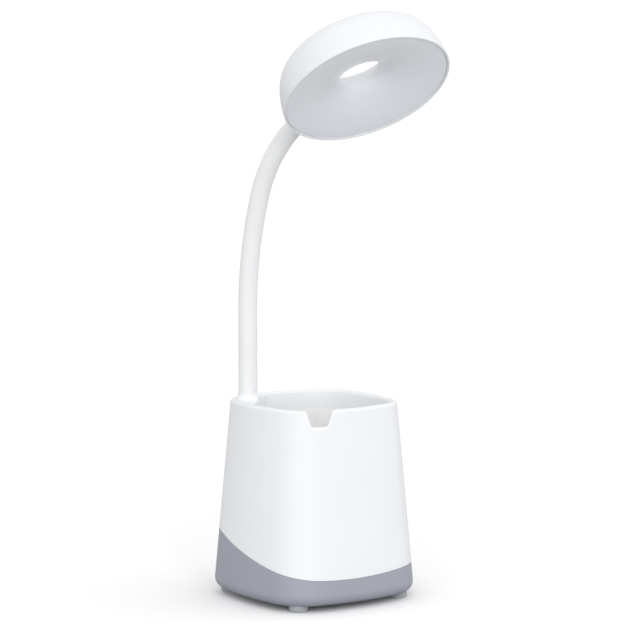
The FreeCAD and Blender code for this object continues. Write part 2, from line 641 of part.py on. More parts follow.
def power_button():
    """Round push button with a flange behind the panel and a stem to the switch."""
    centre = Vector(BUTTON_X, BUTTON_FLANGE_BACK_Y, PANEL_CENTRE_HEIGHT)
    cap = cylinder(BUTTON_RADIUS, centre, BACK, PANEL_FACE_Y + BUTTON_PROUD - BUTTON_FLANGE_BACK_Y)
    front = [edge for edge in cap.Edges if edge.BoundBox.YMin > PANEL_FACE_Y]
    cap = cap.makeFillet(BUTTON_EDGE_ROUNDING, front)
    flange = cylinder(BUTTON_FLANGE_RADIUS, centre, BACK, BUTTON_FLANGE_THICKNESS)
    stem_end = Vector(BUTTON_X, BUTTON_STEM_END_Y, PANEL_CENTRE_HEIGHT)
    stem = cylinder(BUTTON_STEM_RADIUS, stem_end, BACK, BUTTON_FLANGE_BACK_Y - BUTTON_STEM_END_Y)
    return fuse([cap, flange, stem])


def usb_socket():
    """Charging socket: an obround metal can with its contact tongue."""
    start = Vector(SOCKET_X, BOARD_FACE_Y, PANEL_CENTRE_HEIGHT)
    depth = PANEL_FACE_Y - SOCKET_SINK - BOARD_FACE_Y
    can = obround(SOCKET_WIDTH, SOCKET_HEIGHT, start, depth)
    mouth = start + BACK * SOCKET_BACK_THICKNESS
    can = can.cut(obround(SOCKET_WIDTH - 2 * SOCKET_WALL, SOCKET_HEIGHT - 2 * SOCKET_WALL, mouth, depth))
    half = SOCKET_TONGUE_THICKNESS / 2
    tongue = block((SOCKET_X - SOCKET_TONGUE_WIDTH / 2, SOCKET_X + SOCKET_TONGUE_WIDTH / 2),
                   (BOARD_FACE_Y, PANEL_FACE_Y - 2 * SOCKET_BACK_THICKNESS),
                   (PANEL_CENTRE_HEIGHT - half, PANEL_CENTRE_HEIGHT + half))
    return fuse([can, tongue])


def lean_direction():
    return polar(1, NECK_LEAN_AZIMUTH)


def bend_axis():
    """Level axis about which the neck bends forward."""
    return UP.cross(lean_direction())


def neck_stretches():
    """Start length, length and bend radius of each stretch; no radius where it is straight."""
    return [(0.0, NECK_STRAIGHT_LENGTH, None),
            (NECK_STRAIGHT_LENGTH, NECK_GENTLE_LENGTH, NECK_GENTLE_RADIUS),
            (NECK_STRAIGHT_LENGTH + NECK_GENTLE_LENGTH, NECK_TIGHT_LENGTH, NECK_TIGHT_RADIUS)]


def neck_frame(length):
    """Point and direction of the neck's centre line, measured along it from the rim's level."""
    point = neck_foot(POT_HEIGHT)
    direction = Vector(UP)
    if length < 0:
        return point + direction * length, direction
    for start, stretch, radius in neck_stretches():
        step = min(max(length - start, 0.0), stretch)
        if radius is None:
            point = point + direction * step
            continue
        turn = step / radius
        inward = bend_axis().cross(direction)
        centre = point + inward * radius
        spin = FreeCAD.Rotation(bend_axis(), math.degrees(turn))
        point = centre + spin.multVec(point - centre)
        direction = spin.multVec(direction)
    if length > NECK_LENGTH:
        point = point + direction * (length - NECK_LENGTH)
    return point, direction


def neck_run(start, end, radius):
    """Solid rod along the neck's centre line between two lengths."""
    spans = [(min(start, 0.0), 0.0, None)] if start < 0 else []
    spans += [(s, s + size, bend) for s, size, bend in neck_stretches()]
    spans.append((NECK_LENGTH, max(end, NECK_LENGTH), None))
    pieces = []
    for low, high, bend in spans:
        low, high = max(low, start), min(high, end)
        if high <= low:
            continue
        point, direction = neck_frame(low)
        if bend is None:
            pieces.append(cylinder(radius, point, direction, high - low))
            continue
        face = Part.Face(Part.Wire(Part.makeCircle(radius, point, direction)))
        centre = point + bend_axis().cross(direction) * bend
        pieces.append(face.revolve(centre, bend_axis(), math.degrees((high - low) / bend)))
    return fuse(pieces)


def neck_link(index, radius, bore, root_start, head_end):
    """One rigid link: it ends in a ball below and a cup above, both about the joints."""
    first = index == 0
    last = index == NECK_JOINT_COUNT
    low = root_start if first else JOINT_LENGTHS[index - 1]
    high = head_end if last else JOINT_LENGTHS[index]
    rod = neck_run(low, high, radius)
    if not first:
        point, direction = neck_frame(low)
        ball = Part.makeSphere(KNUCKLE_RADIUS - RUNNING_GAP, point)
        stub = cylinder(radius, point - direction * KNUCKLE_RADIUS, direction, KNUCKLE_RADIUS)
        rod = fuse([rod, stub.common(ball)])
    if not last:
        rod = rod.cut(Part.makeSphere(KNUCKLE_RADIUS, neck_frame(high)[0]))
    point, direction = neck_frame(low)
    reach = KNUCKLE_RADIUS + OVERRUN
    below = cylinder(bore, point - direction * reach, direction, reach)
    return rod.cut(fuse([below, neck_run(low, high + OVERRUN, bore)]))


def sleeve_link(index):
    """Smooth silicone sleeve, one length for each link of the neck."""
    seat = NECK_SEAT_HEIGHT - POT_HEIGHT
    return neck_link(index, SLEEVE_RADIUS, CORE_SEAT_RADIUS, seat, sleeve_end())


def core_link(index):
    """Steel gooseneck inside the sleeve, bored for the lamp's wires."""
    root = NECK_SEAT_HEIGHT - POT_HEIGHT - CORE_CRIMP_LENGTH
    return neck_link(index, CORE_RADIUS, CORE_BORE_RADIUS, root, core_end())


def sleeve_end():
    """The sleeve ends just inside the wall of the head."""
    return NECK_LENGTH + HEAD_RADIUS + CLAMP_OUTER_X - FIT_GAP


def core_end():
    return NECK_LENGTH + HEAD_RADIUS + CLAMP_OUTER_X + CLAMP_LENGTH


def neck_stem():
    """Steel tube that carries the neck: crimped on above, threaded for its nut below."""
    top = NECK_SEAT_HEIGHT
    tube = cylinder(STEM_RADIUS, neck_foot(STEM_BOTTOM), UP, top - STEM_BOTTOM)
    tube = tube.cut(cylinder(CORE_SEAT_RADIUS, neck_foot(top - CORE_CRIMP_LENGTH), UP, CORE_CRIMP_LENGTH))
    return tube.cut(cylinder(CORE_BORE_RADIUS, neck_foot(STEM_BOTTOM), UP, top - STEM_BOTTOM))


def neck_washer():
    ring = cylinder(NUT_RADIUS, neck_foot(NUT_TOP), UP, WASHER_THICKNESS)
    return ring.cut(cylinder(STEM_RADIUS + FIT_GAP, neck_foot(NUT_TOP), UP, WASHER_THICKNESS))


def neck_nut():
    """Hexagon nut under the shelf."""
    corners = [neck_foot(NUT_TOP - NUT_HEIGHT) + polar(NUT_RADIUS, 45 + 60 * k) for k in range(7)]
    nut = Part.Face(Part.makePolygon(corners)).extrude(UP * NUT_HEIGHT)
    return nut.cut(cylinder(STEM_RADIUS + FIT_GAP / 2, neck_foot(NUT_TOP - NUT_HEIGHT), UP, NUT_HEIGHT))


def head_placement():
    """From the head's own frame (rim plane at zero, top up, neck at -X) to its place."""
    end, along = neck_frame(NECK_LENGTH)
    roll = math.radians(HEAD_ROLL)
    side = bend_axis()
    top = along.cross(side) * math.cos(roll) + side * math.sin(roll)
    across = top.cross(along)
    centre = end + along * HEAD_RADIUS - top * NECK_HEIGHT_IN_HEAD
    matrix = FreeCAD.Matrix(along.x, across.x, top.x, centre.x,
                            along.y, across.y, top.y, centre.y,
                            along.z, across.z, top.z, centre.z,
                            0, 0, 0, 1)
    return FreeCAD.Placement(matrix)


def in_place(shape):
    """Move a piece from the head's own frame to its place."""
    placed = shape.copy()
    placed.Placement = head_placement().multiply(shape.Placement)
    return placed


def radius_at(share):
    return HOLE_RADIUS + (HEAD_RADIUS - HOLE_RADIUS) * share


def curve(points):
    spline = Part.BSplineCurve()
    spline.interpolate(points)
    return spline.toShape()


def dome_points(inset):
    """Points of the domed top, moved inwards square to the surface."""
    points = []
    for radius_share, height_share, facing in DOME_SHARES:
        angle = math.radians(facing)
        points.append(Vector(radius_at(radius_share) - inset * math.cos(angle), 0,
                             HEAD_HEIGHT * height_share - inset * math.sin(angle)))
    return points


def head_profile(rim_radius, inset, bottom):
    """Closed outline of a solid ring under the dome, from its rim to the hole."""
    rim = Vector(rim_radius, 0, bottom)
    rim_top = Vector(HEAD_RADIUS - inset, 0, max(HEAD_LIP_HEIGHT, bottom))
    hole_top = Vector(HOLE_RADIUS + inset, 0, HOLE_TOP_HEIGHT - inset)
    hole_foot = Vector(HOLE_RADIUS + inset, 0, bottom)
    edges = [Part.makeLine(rim, rim_top)] if (rim - rim_top).Length > 0 else []
    edges.append(curve([rim_top] + dome_points(inset) + [hole_top]))
    edges.append(Part.makeLine(hole_top, hole_foot))
    edges.append(Part.makeLine(hole_foot, rim))
    return Part.Wire(edges)


def ring_solid(wire):
    return Part.Face(wire).revolve(ORIGIN, UP, 360)


def neck_line_in_head(x):
    return Vector(x, 0, NECK_HEIGHT_IN_HEAD)


def head_shell():
    """White domed shell, with the hole's wall, the neck's saddle and the board's bosses."""
    outer = ring_solid(head_profile(HEAD_RADIUS, 0.0, 0.0))
    outer = outer.cut(cylinder(HOLE_RADIUS + HEAD_WALL, Vector(0, 0, -OVERRUN), UP,
                               HOLE_BOTTOM_HEIGHT + OVERRUN))
    inner = ring_solid(head_profile(HEAD_RADIUS - HEAD_WALL, HEAD_WALL, HEAD_LIP_HEIGHT))
    mouth_depth = DIFFUSER_SINK + DIFFUSER_SKIRT + OVERRUN
    mouth = cylinder(HEAD_RADIUS - HEAD_LIP, Vector(0, 0, -OVERRUN), UP, mouth_depth)
    mouth = mouth.cut(cylinder(HOLE_RADIUS + HEAD_WALL, Vector(0, 0, -OVERRUN), UP, HEAD_HEIGHT))
    half_width = CLAMP_WIDTH / 2
    saddle = block((CLAMP_OUTER_X, CLAMP_OUTER_X + CLAMP_LENGTH), (-half_width, half_width),
                   (NECK_HEIGHT_IN_HEAD + FIT_GAP, HEAD_HEIGHT))
    solid_dome = ring_solid(head_profile(HEAD_RADIUS - HEAD_WALL / 2, HEAD_WALL / 2, HEAD_LIP_HEIGHT))
    bosses = [cylinder(LED_BOSS_RADIUS, Vector(place.x, place.y, LED_BOARD_TOP), UP, HEAD_HEIGHT)
              for place in led_screw_places()]
    inside = [piece.common(solid_dome) for piece in [saddle] + bosses]
    shell = fuse([outer.cut(inner).cut(mouth)] + inside)
    shell = shell.cut(cylinder(SLEEVE_RADIUS + FIT_GAP, neck_line_in_head(-HEAD_RADIUS - OVERRUN), RIGHT,
                               HEAD_RADIUS + OVERRUN + CLAMP_OUTER_X))
    shell = shell.cut(cylinder(FERRULE_RADIUS + FIT_GAP, neck_line_in_head(CLAMP_OUTER_X), RIGHT,
                               CLAMP_LENGTH + OVERRUN))
    for place in led_screw_places():
        shell = shell.cut(cylinder(BOARD_SCREW_SHANK_RADIUS + FIT_GAP / 2,
                                   Vector(place.x, place.y, LED_BOARD_TOP), UP,
                                   BOARD_SCREW_LENGTH - BOARD_THICKNESS))
    for place in clamp_screw_places():
        shell = shell.cut(cylinder(BOARD_SCREW_SHANK_RADIUS + FIT_GAP / 2, place, UP, CLAMP_SCREW_LENGTH))
    return shell


def diffuser():
    """Milky cover, flat at the rim and curving up into the hole like a trumpet."""
    rim_radius = HEAD_RADIUS - HEAD_LIP - FIT_GAP

    def face_points(lift):
        middle = [Vector(radius_at(r), 0, HOLE_BOTTOM_HEIGHT * h + lift) for r, h in DIFFUSER_SHARES]
        start = Vector(rim_radius, 0, DIFFUSER_SINK + lift)
        return [start] + middle + [Vector(HOLE_RADIUS, 0, DIFFUSER_TOP - DIFFUSER_WALL + lift)]

    lit = face_points(0.0)
    back = face_points(DIFFUSER_WALL)
    edges = [curve(lit), Part.makeLine(lit[-1], back[-1]), curve(back), Part.makeLine(back[0], lit[0])]
    cover = ring_solid(Part.Wire(edges))
    skirt_height = DIFFUSER_SKIRT - FIT_GAP
    ring = cylinder(rim_radius, Vector(0, 0, DIFFUSER_SINK), UP, skirt_height)
    ring = ring.cut(cylinder(rim_radius - DIFFUSER_WALL, Vector(0, 0, DIFFUSER_SINK), UP, skirt_height))
    ring = ring.cut(block((-HEAD_RADIUS, HEAD_RADIUS), (-HEAD_RADIUS, HEAD_RADIUS),
                          (0, DIFFUSER_SINK + DIFFUSER_WALL / 2)))
    return fuse([cover, ring])


def led_screw_places():
    """Screws of the ring board, clear of the neck's clamp."""
    return [polar(LED_SCREW_CIRCLE_RADIUS, 360 * k / LED_SCREW_COUNT) for k in range(LED_SCREW_COUNT)]


def led_board():
    base = Vector(0, 0, LED_BOARD_HEIGHT)
    board = cylinder(LED_BOARD_OUTER_RADIUS, base, UP, BOARD_THICKNESS)
    board = board.cut(cylinder(LED_BOARD_INNER_RADIUS, base, UP, BOARD_THICKNESS))
    for place in led_screw_places():
        board = board.cut(cylinder(BOARD_SCREW_SHANK_RADIUS + FIT_GAP, place + base, UP, BOARD_THICKNESS))
    return board


def leds():
    """Light sources on the underside of the ring board."""
    pieces = []
    for k in range(LED_COUNT):
        led = block((LED_CIRCLE_RADIUS - LED_WIDTH / 2, LED_CIRCLE_RADIUS + LED_WIDTH / 2),
                    (-LED_LENGTH / 2, LED_LENGTH / 2), (LED_BOARD_HEIGHT - LED_HEIGHT, LED_BOARD_HEIGHT))
        led.rotate(ORIGIN, UP, 360 * (k + 1 / 2) / LED_COUNT)
        pieces.append(led)
    return group(pieces)


def led_screws():
    return group([screw(Vector(place.x, place.y, LED_BOARD_HEIGHT), UP, BOARD_SCREW_HEAD_RADIUS,
                        BOARD_SCREW_HEAD_HEIGHT, BOARD_SCREW_SHANK_RADIUS, BOARD_SCREW_LENGTH)
                  for place in led_screw_places()])


def head_ferrule():
    """Steel collar on the upper end of the gooseneck."""
    ring = cylinder(FERRULE_RADIUS, neck_line_in_head(CLAMP_OUTER_X), RIGHT, CLAMP_LENGTH)
    return ring.cut(cylinder(CORE_SEAT_RADIUS, neck_line_in_head(CLAMP_OUTER_X), RIGHT, CLAMP_LENGTH))


def clamp_foot():
    return NECK_HEIGHT_IN_HEAD - CLAMP_DEPTH


def clamp_screw_places():
    middle = CLAMP_OUTER_X + CLAMP_LENGTH / 2
    return [Vector(middle, side * CLAMP_SCREW_SPREAD, clamp_foot()) for side in (-1, 1)]


def neck_clamp():
    """Lower half of the clamp that holds the neck's collar against the saddle."""
    half_width = CLAMP_WIDTH / 2
    body = block((CLAMP_OUTER_X, CLAMP_OUTER_X + CLAMP_LENGTH), (-half_width, half_width),
                 (clamp_foot(), NECK_HEIGHT_IN_HEAD - FIT_GAP))
    body = body.cut(cylinder(FERRULE_RADIUS + FIT_GAP, neck_line_in_head(CLAMP_OUTER_X), RIGHT, CLAMP_LENGTH))
    for place in clamp_screw_places():
        body = body.cut(cylinder(BOARD_SCREW_SHANK_RADIUS + FIT_GAP, place, UP, CLAMP_DEPTH))
    return body


def clamp_screws():
    return group([screw(place, UP, BOARD_SCREW_HEAD_RADIUS, BOARD_SCREW_HEAD_HEIGHT,
                        BOARD_SCREW_SHANK_RADIUS, CLAMP_SCREW_LENGTH) for place in clamp_screw_places()])


def build_parts():
    """Every node by name."""
    parts = {
        "pot_shell": pot_shell(),
        "cup_liner": cup_liner(),
        "lower_housing": lower_housing(),
        "housing_screws": housing_screws(),
        "ballast_plate": ballast_plate(),
        "battery_cell": battery_cell(),
        "battery_cradle": battery_cradle(),
        "main_board": main_board(),
        "board_screws": board_screws(),
        "tact_switch": tact_switch(),
        "usb_socket": usb_socket(),
        "power_button": power_button(),
        "switch_plunger": switch_plunger(),
        "neck_stem": neck_stem(),
        "neck_washer": neck_washer(),
        "neck_nut": neck_nut(),
    }
    for number, place in enumerate(foot_places(), start=1):
        parts[f"foot_{number}"] = foot(place)
    for index in range(NECK_JOINT_COUNT + 1):
        parts[f"neck_sleeve_{index}"] = sleeve_link(index)
        parts[f"neck_core_{index}"] = core_link(index)
    head_pieces = (head_shell, diffuser, led_board, leds, led_screws, head_ferrule, neck_clamp, clamp_screws)
    for make in head_pieces:
        parts[make.__name__] = in_place(make())
    return parts


def main():
    os.makedirs("parts", exist_ok=True)
    for name, shape in build_parts().items():
        shape.exportStep(f"parts/{name}.step")
        solids = len(shape.Solids)
        print(f"{name}: {solids} solid(s), {shape.Volume:.1f} mm3, valid {shape.isValid()}")


if __name__ == "__main__":
    main()
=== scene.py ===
import math

import bmesh
import bpy
from mathutils import Matrix, Vector
from mathutils.geometry import interpolate_bezier


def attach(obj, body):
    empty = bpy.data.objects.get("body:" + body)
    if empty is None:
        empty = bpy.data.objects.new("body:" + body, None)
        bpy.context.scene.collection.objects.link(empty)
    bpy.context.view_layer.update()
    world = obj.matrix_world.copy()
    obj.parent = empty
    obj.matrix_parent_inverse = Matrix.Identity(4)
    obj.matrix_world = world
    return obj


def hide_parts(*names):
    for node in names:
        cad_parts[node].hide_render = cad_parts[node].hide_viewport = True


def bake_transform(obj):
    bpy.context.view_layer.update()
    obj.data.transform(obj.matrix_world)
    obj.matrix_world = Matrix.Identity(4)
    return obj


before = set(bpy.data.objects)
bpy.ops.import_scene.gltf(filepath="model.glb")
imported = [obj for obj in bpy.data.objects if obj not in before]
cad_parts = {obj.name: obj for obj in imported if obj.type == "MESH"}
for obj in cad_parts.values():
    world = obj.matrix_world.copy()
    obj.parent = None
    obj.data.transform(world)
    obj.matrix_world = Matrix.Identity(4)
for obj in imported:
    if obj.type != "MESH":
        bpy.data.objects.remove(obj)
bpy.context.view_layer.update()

# Camera: it stands to the front left of the lamp, a little above the desk, with a long
# lens, so the near corner of the pot faces it and upright lines stay upright.
VIEW_PLACE = (-1.0292, -1.4767, 0.379)
VIEW_TILT = math.radians(83.4)
VIEW_TURN = math.radians(-35)
LENS_LENGTH = 166.05
SIGHT_REACH = 900
viewpoint = bpy.data.objects.new("viewpoint", bpy.data.cameras.new("viewpoint"))
viewpoint.location = VIEW_PLACE
viewpoint.rotation_euler = (VIEW_TILT, 0, VIEW_TURN)
viewpoint.data.lens = LENS_LENGTH
viewpoint.data.clip_end = SIGHT_REACH
bpy.context.scene.collection.objects.link(viewpoint)
bpy.context.scene.camera = viewpoint

# Studio: a white sweep in a tent of soft light, brightest low behind the camera and a little
# brighter to the right and overhead. A small softbox throws the shadow. The sweep looks white
# but lights the lamp less than paper would, so that undersides stay darker than the sweep.
DESK_REACH = 350
DESK_WHITE = (0.99, 0.99, 0.99, 1)
DESK_BOUNCE = (0.55, 0.55, 0.55, 1)
TENT_LIGHTS = (
    # bearing and height of each light's middle in degrees, strength, narrowness
    (232.5, 0.0, 2.78, 6.6),
    (340.0, 5.0, 0.61, 3.2),
    (0.0, 90.0, 0.12, 3.0),
)
TENT_FILL = 0.825
SOFTBOX_PLACE = Vector((-0.55, -1.5, 0.9))
SOFTBOX_AIM = Vector((0, 0, 0.2))
SOFTBOX_WIDTH = 0.2
SOFTBOX_POWER = 2.0
bpy.context.scene.view_settings.view_transform = "Standard"
sky = bpy.data.worlds.new("studio_tent")
sky.use_nodes = True
bpy.context.scene.world = sky
sky_nodes, sky_links = sky.node_tree.nodes, sky.node_tree.links


def tent_step(operation, first, second, third=0):
    """One step of the sum that gives the brightness of the tent."""
    step = sky_nodes.new("ShaderNodeMath")
    step.operation = operation
    for socket, value in zip(step.inputs, (first, second, third)):
        if isinstance(value, (int, float)):
            socket.default_value = value
        else:
            sky_links.new(value, socket)
    return step.outputs["Value"]


gaze = sky_nodes.new("ShaderNodeTexCoord")
brightness = TENT_FILL
for bearing, height, strength, narrowness in TENT_LIGHTS:
    bearing, height = math.radians(bearing), math.radians(height)
    facing = sky_nodes.new("ShaderNodeVectorMath")
    facing.operation = "DOT_PRODUCT"
    facing.inputs[1].default_value = (math.cos(bearing) * math.cos(height),
                                      math.sin(bearing) * math.cos(height), math.sin(height))
    sky_links.new(gaze.outputs["Generated"], facing.inputs[0])
    glow = tent_step("POWER", tent_step("MAXIMUM", facing.outputs["Value"], 0), narrowness)
    brightness = tent_step("MULTIPLY_ADD", glow, strength, brightness)
seen = sky_nodes.new("ShaderNodeLightPath")
unseen = tent_step("SUBTRACT", 1, seen.outputs["Is Camera Ray"])
backdrop = tent_step("MULTIPLY_ADD", brightness, unseen, seen.outputs["Is Camera Ray"])
sky_links.new(backdrop, sky_nodes["Background"].inputs["Strength"])
sky_nodes["Background"].inputs["Color"].default_value = (1, 1, 1, 1)
softbox = bpy.data.objects.new("softbox", bpy.data.lights.new("softbox", "AREA"))
softbox.data.shape = "SQUARE"
softbox.data.size = SOFTBOX_WIDTH
softbox.data.energy = SOFTBOX_POWER
softbox.location = SOFTBOX_PLACE
softbox.rotation_euler = (SOFTBOX_AIM - SOFTBOX_PLACE).to_track_quat("-Z", "Y").to_euler()
bpy.context.scene.collection.objects.link(softbox)
paper = bpy.data.materials.new("white_paper")
paper.use_nodes = True
paper_nodes, paper_links = paper.node_tree.nodes, paper.node_tree.links
paper_nodes.remove(paper_nodes["Principled BSDF"])
watched = paper_nodes.new("ShaderNodeLightPath")
sheet = paper_nodes.new("ShaderNodeMixShader")
for place, tone in ((1, DESK_BOUNCE), (2, DESK_WHITE)):
    matt = paper_nodes.new("ShaderNodeBsdfDiffuse")
    matt.inputs["Color"].default_value = tone
    paper_links.new(matt.outputs["BSDF"], sheet.inputs[place])
paper_links.new(watched.outputs["Is Camera Ray"], sheet.inputs["Fac"])
paper_links.new(sheet.outputs["Shader"], paper_nodes["Material Output"].inputs["Surface"])
sweep_mesh = bmesh.new()
bmesh.ops.create_grid(sweep_mesh, x_segments=1, y_segments=1, size=DESK_REACH)
sweep = bpy.data.objects.new("paper_sweep", bpy.data.meshes.new("paper_sweep"))
sweep_mesh.to_mesh(sweep.data)
sweep.data.materials.append(paper)
bpy.context.scene.collection.objects.link(sweep)

# Outer shell of the pot: one piece of satin white plastic, a rounded square with bulged
# sides that narrows upwards. Its thick rim is rolled over, and a notch in the front rim,
# for a cable or a pen, has the same rolled edge.
POT_HEIGHT = 0.1215
POT_HALF_WIDTH = 0.0433
POT_SPREAD = 0.0094
POT_CORNER_RADIUS = 0.0232
POT_CORNER_SPREAD = 0.0051
POT_SIDE_BULGE = 0.00245
POT_WALL = 0.0022
RIM_WIDTH = 0.0048
RIM_ROLL = 0.00185
RIM_ROLL_STEPS = 6
RIM_APPROACH_SHARE = 1.15
BAND_BOTTOM = 0.1095
BAND_LEVELS = (0.045, 0.07, 0.098)
SEAM_GAP = 0.00005
SEAM_ROLL = 0.00025
SEAM_ROLL_STEPS = 2
PARTING_LOW = 0.019
PARTING_REACH = 0.030
PARTING_RADIUS = 0.186
NOTCH_BEARING = math.radians(239.3)
NOTCH_HALF_TOP = 0.008
NOTCH_HALF_FLOOR = 0.00475
NOTCH_DEPTH = 0.010
NOTCH_FLOOR_ROUND = 0.002
NOTCH_TOP_ROUND = 0.0024
NOTCH_REGION = 0.0135
NOTCH_FLOOR_STEPS = 2
NOTCH_SIDE_STEPS = 4
NOTCH_CORNER_STEPS = 5
NOTCH_RIM_STEPS = 2
ROUND_STEPS = 132
RING_STEPS = 144
PRESS_ROUNDS = 10
SEAT_ROUNDS = 4
MERGE = 0.000001
SHELL_MERGE = 0.00005
TOUCH = 0.00001
WHITE = (0.818, 0.833, 0.853)
MOULDED_TONES = (0.975, 1.02)
MOULDED_GLOSS = (-0.04, 0.05)
# sockets of a colour mix: its share, its two colours and its result
MIX_SHARE = 0
MIX_COLOURS = (6, 7)
MIX_RESULT = 2


def noise_on(finish, where, size, detail):
    """Soft random pattern of a finish, with patches of about one size."""
    pattern = finish.node_tree.nodes.new("ShaderNodeTexNoise")
    pattern.inputs["Scale"].default_value = 1 / size
    pattern.inputs["Detail"].default_value = detail
    finish.node_tree.links.new(where, pattern.inputs["Vector"])
    return pattern.outputs["Fac"]


def vary(finish, colour, tones, roughness, gloss_range, clouds, grain, depth, relief):
    """Let one pattern drift the colour and the gloss of a finish, and another its relief."""
    nodes, links = finish.node_tree.nodes, finish.node_tree.links
    shader = nodes["Principled BSDF"]
    tone = nodes.new("ShaderNodeMix")
    tone.data_type = "RGBA"
    for place, share in zip(MIX_COLOURS, tones):
        tone.inputs[place].default_value = (*(min(1, channel * share) for channel in colour), 1)
    gloss = nodes.new("ShaderNodeMapRange")
    for end, shift in zip(("To Min", "To Max"), gloss_range):
        gloss.inputs[end].default_value = roughness + shift
    bump = nodes.new("ShaderNodeBump")
    bump.inputs["Strength"].default_value = depth
    bump.inputs["Distance"].default_value = relief
    links.new(clouds, tone.inputs[MIX_SHARE])
    links.new(tone.outputs[MIX_RESULT], shader.inputs["Base Color"])
    links.new(clouds, gloss.inputs["Value"])
    links.new(gloss.outputs["Result"], shader.inputs["Roughness"])
    links.new(grain, bump.inputs["Height"])
    links.new(bump.outputs["Normal"], shader.inputs["Normal"])


def moulded(name, colour, roughness, grain=0.0004, relief=0.000012, drift=0.03, coat=0.0, shine=0.5):
    """Moulded finish: an even colour that drifts a little, over a fine spark-eroded grain."""
    finish = bpy.data.materials.new(name)
    finish.use_nodes = True
    where = finish.node_tree.nodes.new("ShaderNodeTexCoord").outputs["Object"]
    vary(finish, colour, MOULDED_TONES, roughness, MOULDED_GLOSS, noise_on(finish, where, drift, detail=3),
         noise_on(finish, where, grain, detail=2), depth=0.35, relief=relief)
    shader = finish.node_tree.nodes["Principled BSDF"]
    shader.inputs["Coat Weight"].default_value = coat
    shader.inputs["Specular IOR Level"].default_value = shine
    return finish


def finish_piece(mesh, name, finish, body, slot, *nodes, sharp=38):
    """Make a named piece of a bmesh, on its body, in place of the nodes that it stands for."""
    bmesh.ops.recalc_face_normals(mesh, faces=mesh.faces)
    piece = bpy.data.objects.new(name, bpy.data.meshes.new(name))
    mesh.to_mesh(piece.data)
    mesh.free()
    piece.data.shade_smooth()
    piece.data.set_sharp_from_angle(angle=math.radians(sharp))
    piece.data.materials.append(finish)
    bpy.context.scene.collection.objects.link(piece)
    even = piece.modifiers.new("even_shading", "WEIGHTED_NORMAL")
    even.keep_sharp = True
    if body:
        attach(piece, body)
    if nodes:
        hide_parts(*nodes)
    return piece


def outer_skin(height):
    """Half width and corner radius of the pot's outside at a height."""
    drop = 1 - height / POT_HEIGHT
    return POT_HALF_WIDTH + POT_SPREAD * drop, POT_CORNER_RADIUS + POT_CORNER_SPREAD * drop


def mouth_skin(height):
    """Half width and corner radius of the pot's mouth, which is upright."""
    return POT_HALF_WIDTH - RIM_WIDTH, POT_CORNER_RADIUS - RIM_WIDTH


def past_outline(spot, half_width, corner_radius):
    """How far a point lies outside a level outline of the pot."""
    offset = half_width - corner_radius
    side_radius = corner_radius + POT_SIDE_BULGE / 2 + offset ** 2 / (2 * POT_SIDE_BULGE)
    setback = side_radius - half_width - POT_SIDE_BULGE
    far, near = max(abs(spot.x), abs(spot.y)), min(abs(spot.x), abs(spot.y))
    if near * (offset + setback) > (far + setback) * offset:
        return math.hypot(far - offset, near - offset) - corner_radius
    return math.hypot(far + setback, near) - side_radius


def press(point, heading, skin, inset):
    """Slide a point along a level heading until it lies on a skin, moved inwards by an inset."""
    for _ in range(PRESS_ROUNDS):
        half_width, corner_radius = skin(point.co.z)
        point.co -= heading * past_outline(point.co, half_width - inset, corner_radius - inset)


def parting_height(spot):
    """Height of the line between white shell and grey tub: an arc, seen along the diagonal."""
    reach = (spot.y - spot.x) / math.sqrt(2) + PARTING_REACH
    return PARTING_LOW + PARTING_RADIUS - math.sqrt(PARTING_RADIUS ** 2 - reach ** 2)


def outwards(point):
    """Level heading from the pot's middle to a point."""
    return Vector((point.co.x, point.co.y, 0)).normalized()


def ring_on(mesh, skin, inset, height, steps=RING_STEPS):
    """A level ring of points on a skin of the pot."""
    ring = bmesh.ops.create_circle(mesh, segments=steps, radius=POT_HALF_WIDTH)["verts"]
    for point in ring:
        point.co.z = height
        press(point, outwards(point), skin, inset)
    return ring


def edges_of(ring):
    """The edges that join points of a ring."""
    return [edge for edge in {e for point in ring for e in point.link_edges}
            if all(point in ring for point in edge.verts)]


def seat_on_parting(ring, skin, inset, lift):
    """Bring a ring to the curved parting line, at a height above or below it."""
    for point in ring:
        for _ in range(SEAT_ROUNDS):
            point.co.z = parting_height(point.co) + lift
            press(point, outwards(point), skin, inset)


def run_to(mesh, point, end, steps=1):
    """Draw a straight line of edges from a point to an end."""
    step = (Vector(end) - point.co) / steps
    for _ in range(steps):
        point = bmesh.ops.extrude_vert_indiv(mesh, verts=[point])["verts"][0]
        point.co += step
    return point


def turn_round(mesh, point, centre, axis, angle, steps):
    """Draw an arc of edges from a point round a centre."""
    spun = bmesh.ops.spin(mesh, geom=[point], cent=centre, axis=axis, dvec=(0, 0, 0), angle=angle,
                          steps=steps)
    return [v for v in spun["geom_last"] if isinstance(v, bmesh.types.BMVert)][0]


shell = bmesh.new()
in_notch = shell.verts.layers.int.new("in_notch")
on_edge = shell.verts.layers.float_vector.new("on_edge")
into_wall = shell.verts.layers.float_vector.new("into_wall")
side_lean = math.atan2(NOTCH_HALF_TOP - NOTCH_HALF_FLOOR, NOTCH_DEPTH)
side_turn = math.pi / 2 - side_lean
notch_floor = POT_HEIGHT - NOTCH_DEPTH
floor_end = NOTCH_HALF_FLOOR - NOTCH_FLOOR_ROUND * math.tan(side_turn / 2)
side_start = Vector((NOTCH_HALF_TOP, 0, POT_HEIGHT)) - NOTCH_TOP_ROUND * math.tan(side_turn / 2) * Vector(
    (math.sin(side_lean), 0, math.cos(side_lean)))
point = shell.verts.new((0, 0, notch_floor))
point = run_to(shell, point, (floor_end, 0, notch_floor), NOTCH_FLOOR_STEPS)
point = turn_round(shell, point, (floor_end, 0, notch_floor + NOTCH_FLOOR_ROUND), (0, -1, 0), side_turn,
                   NOTCH_CORNER_STEPS)
point = run_to(shell, point, side_start, NOTCH_SIDE_STEPS)
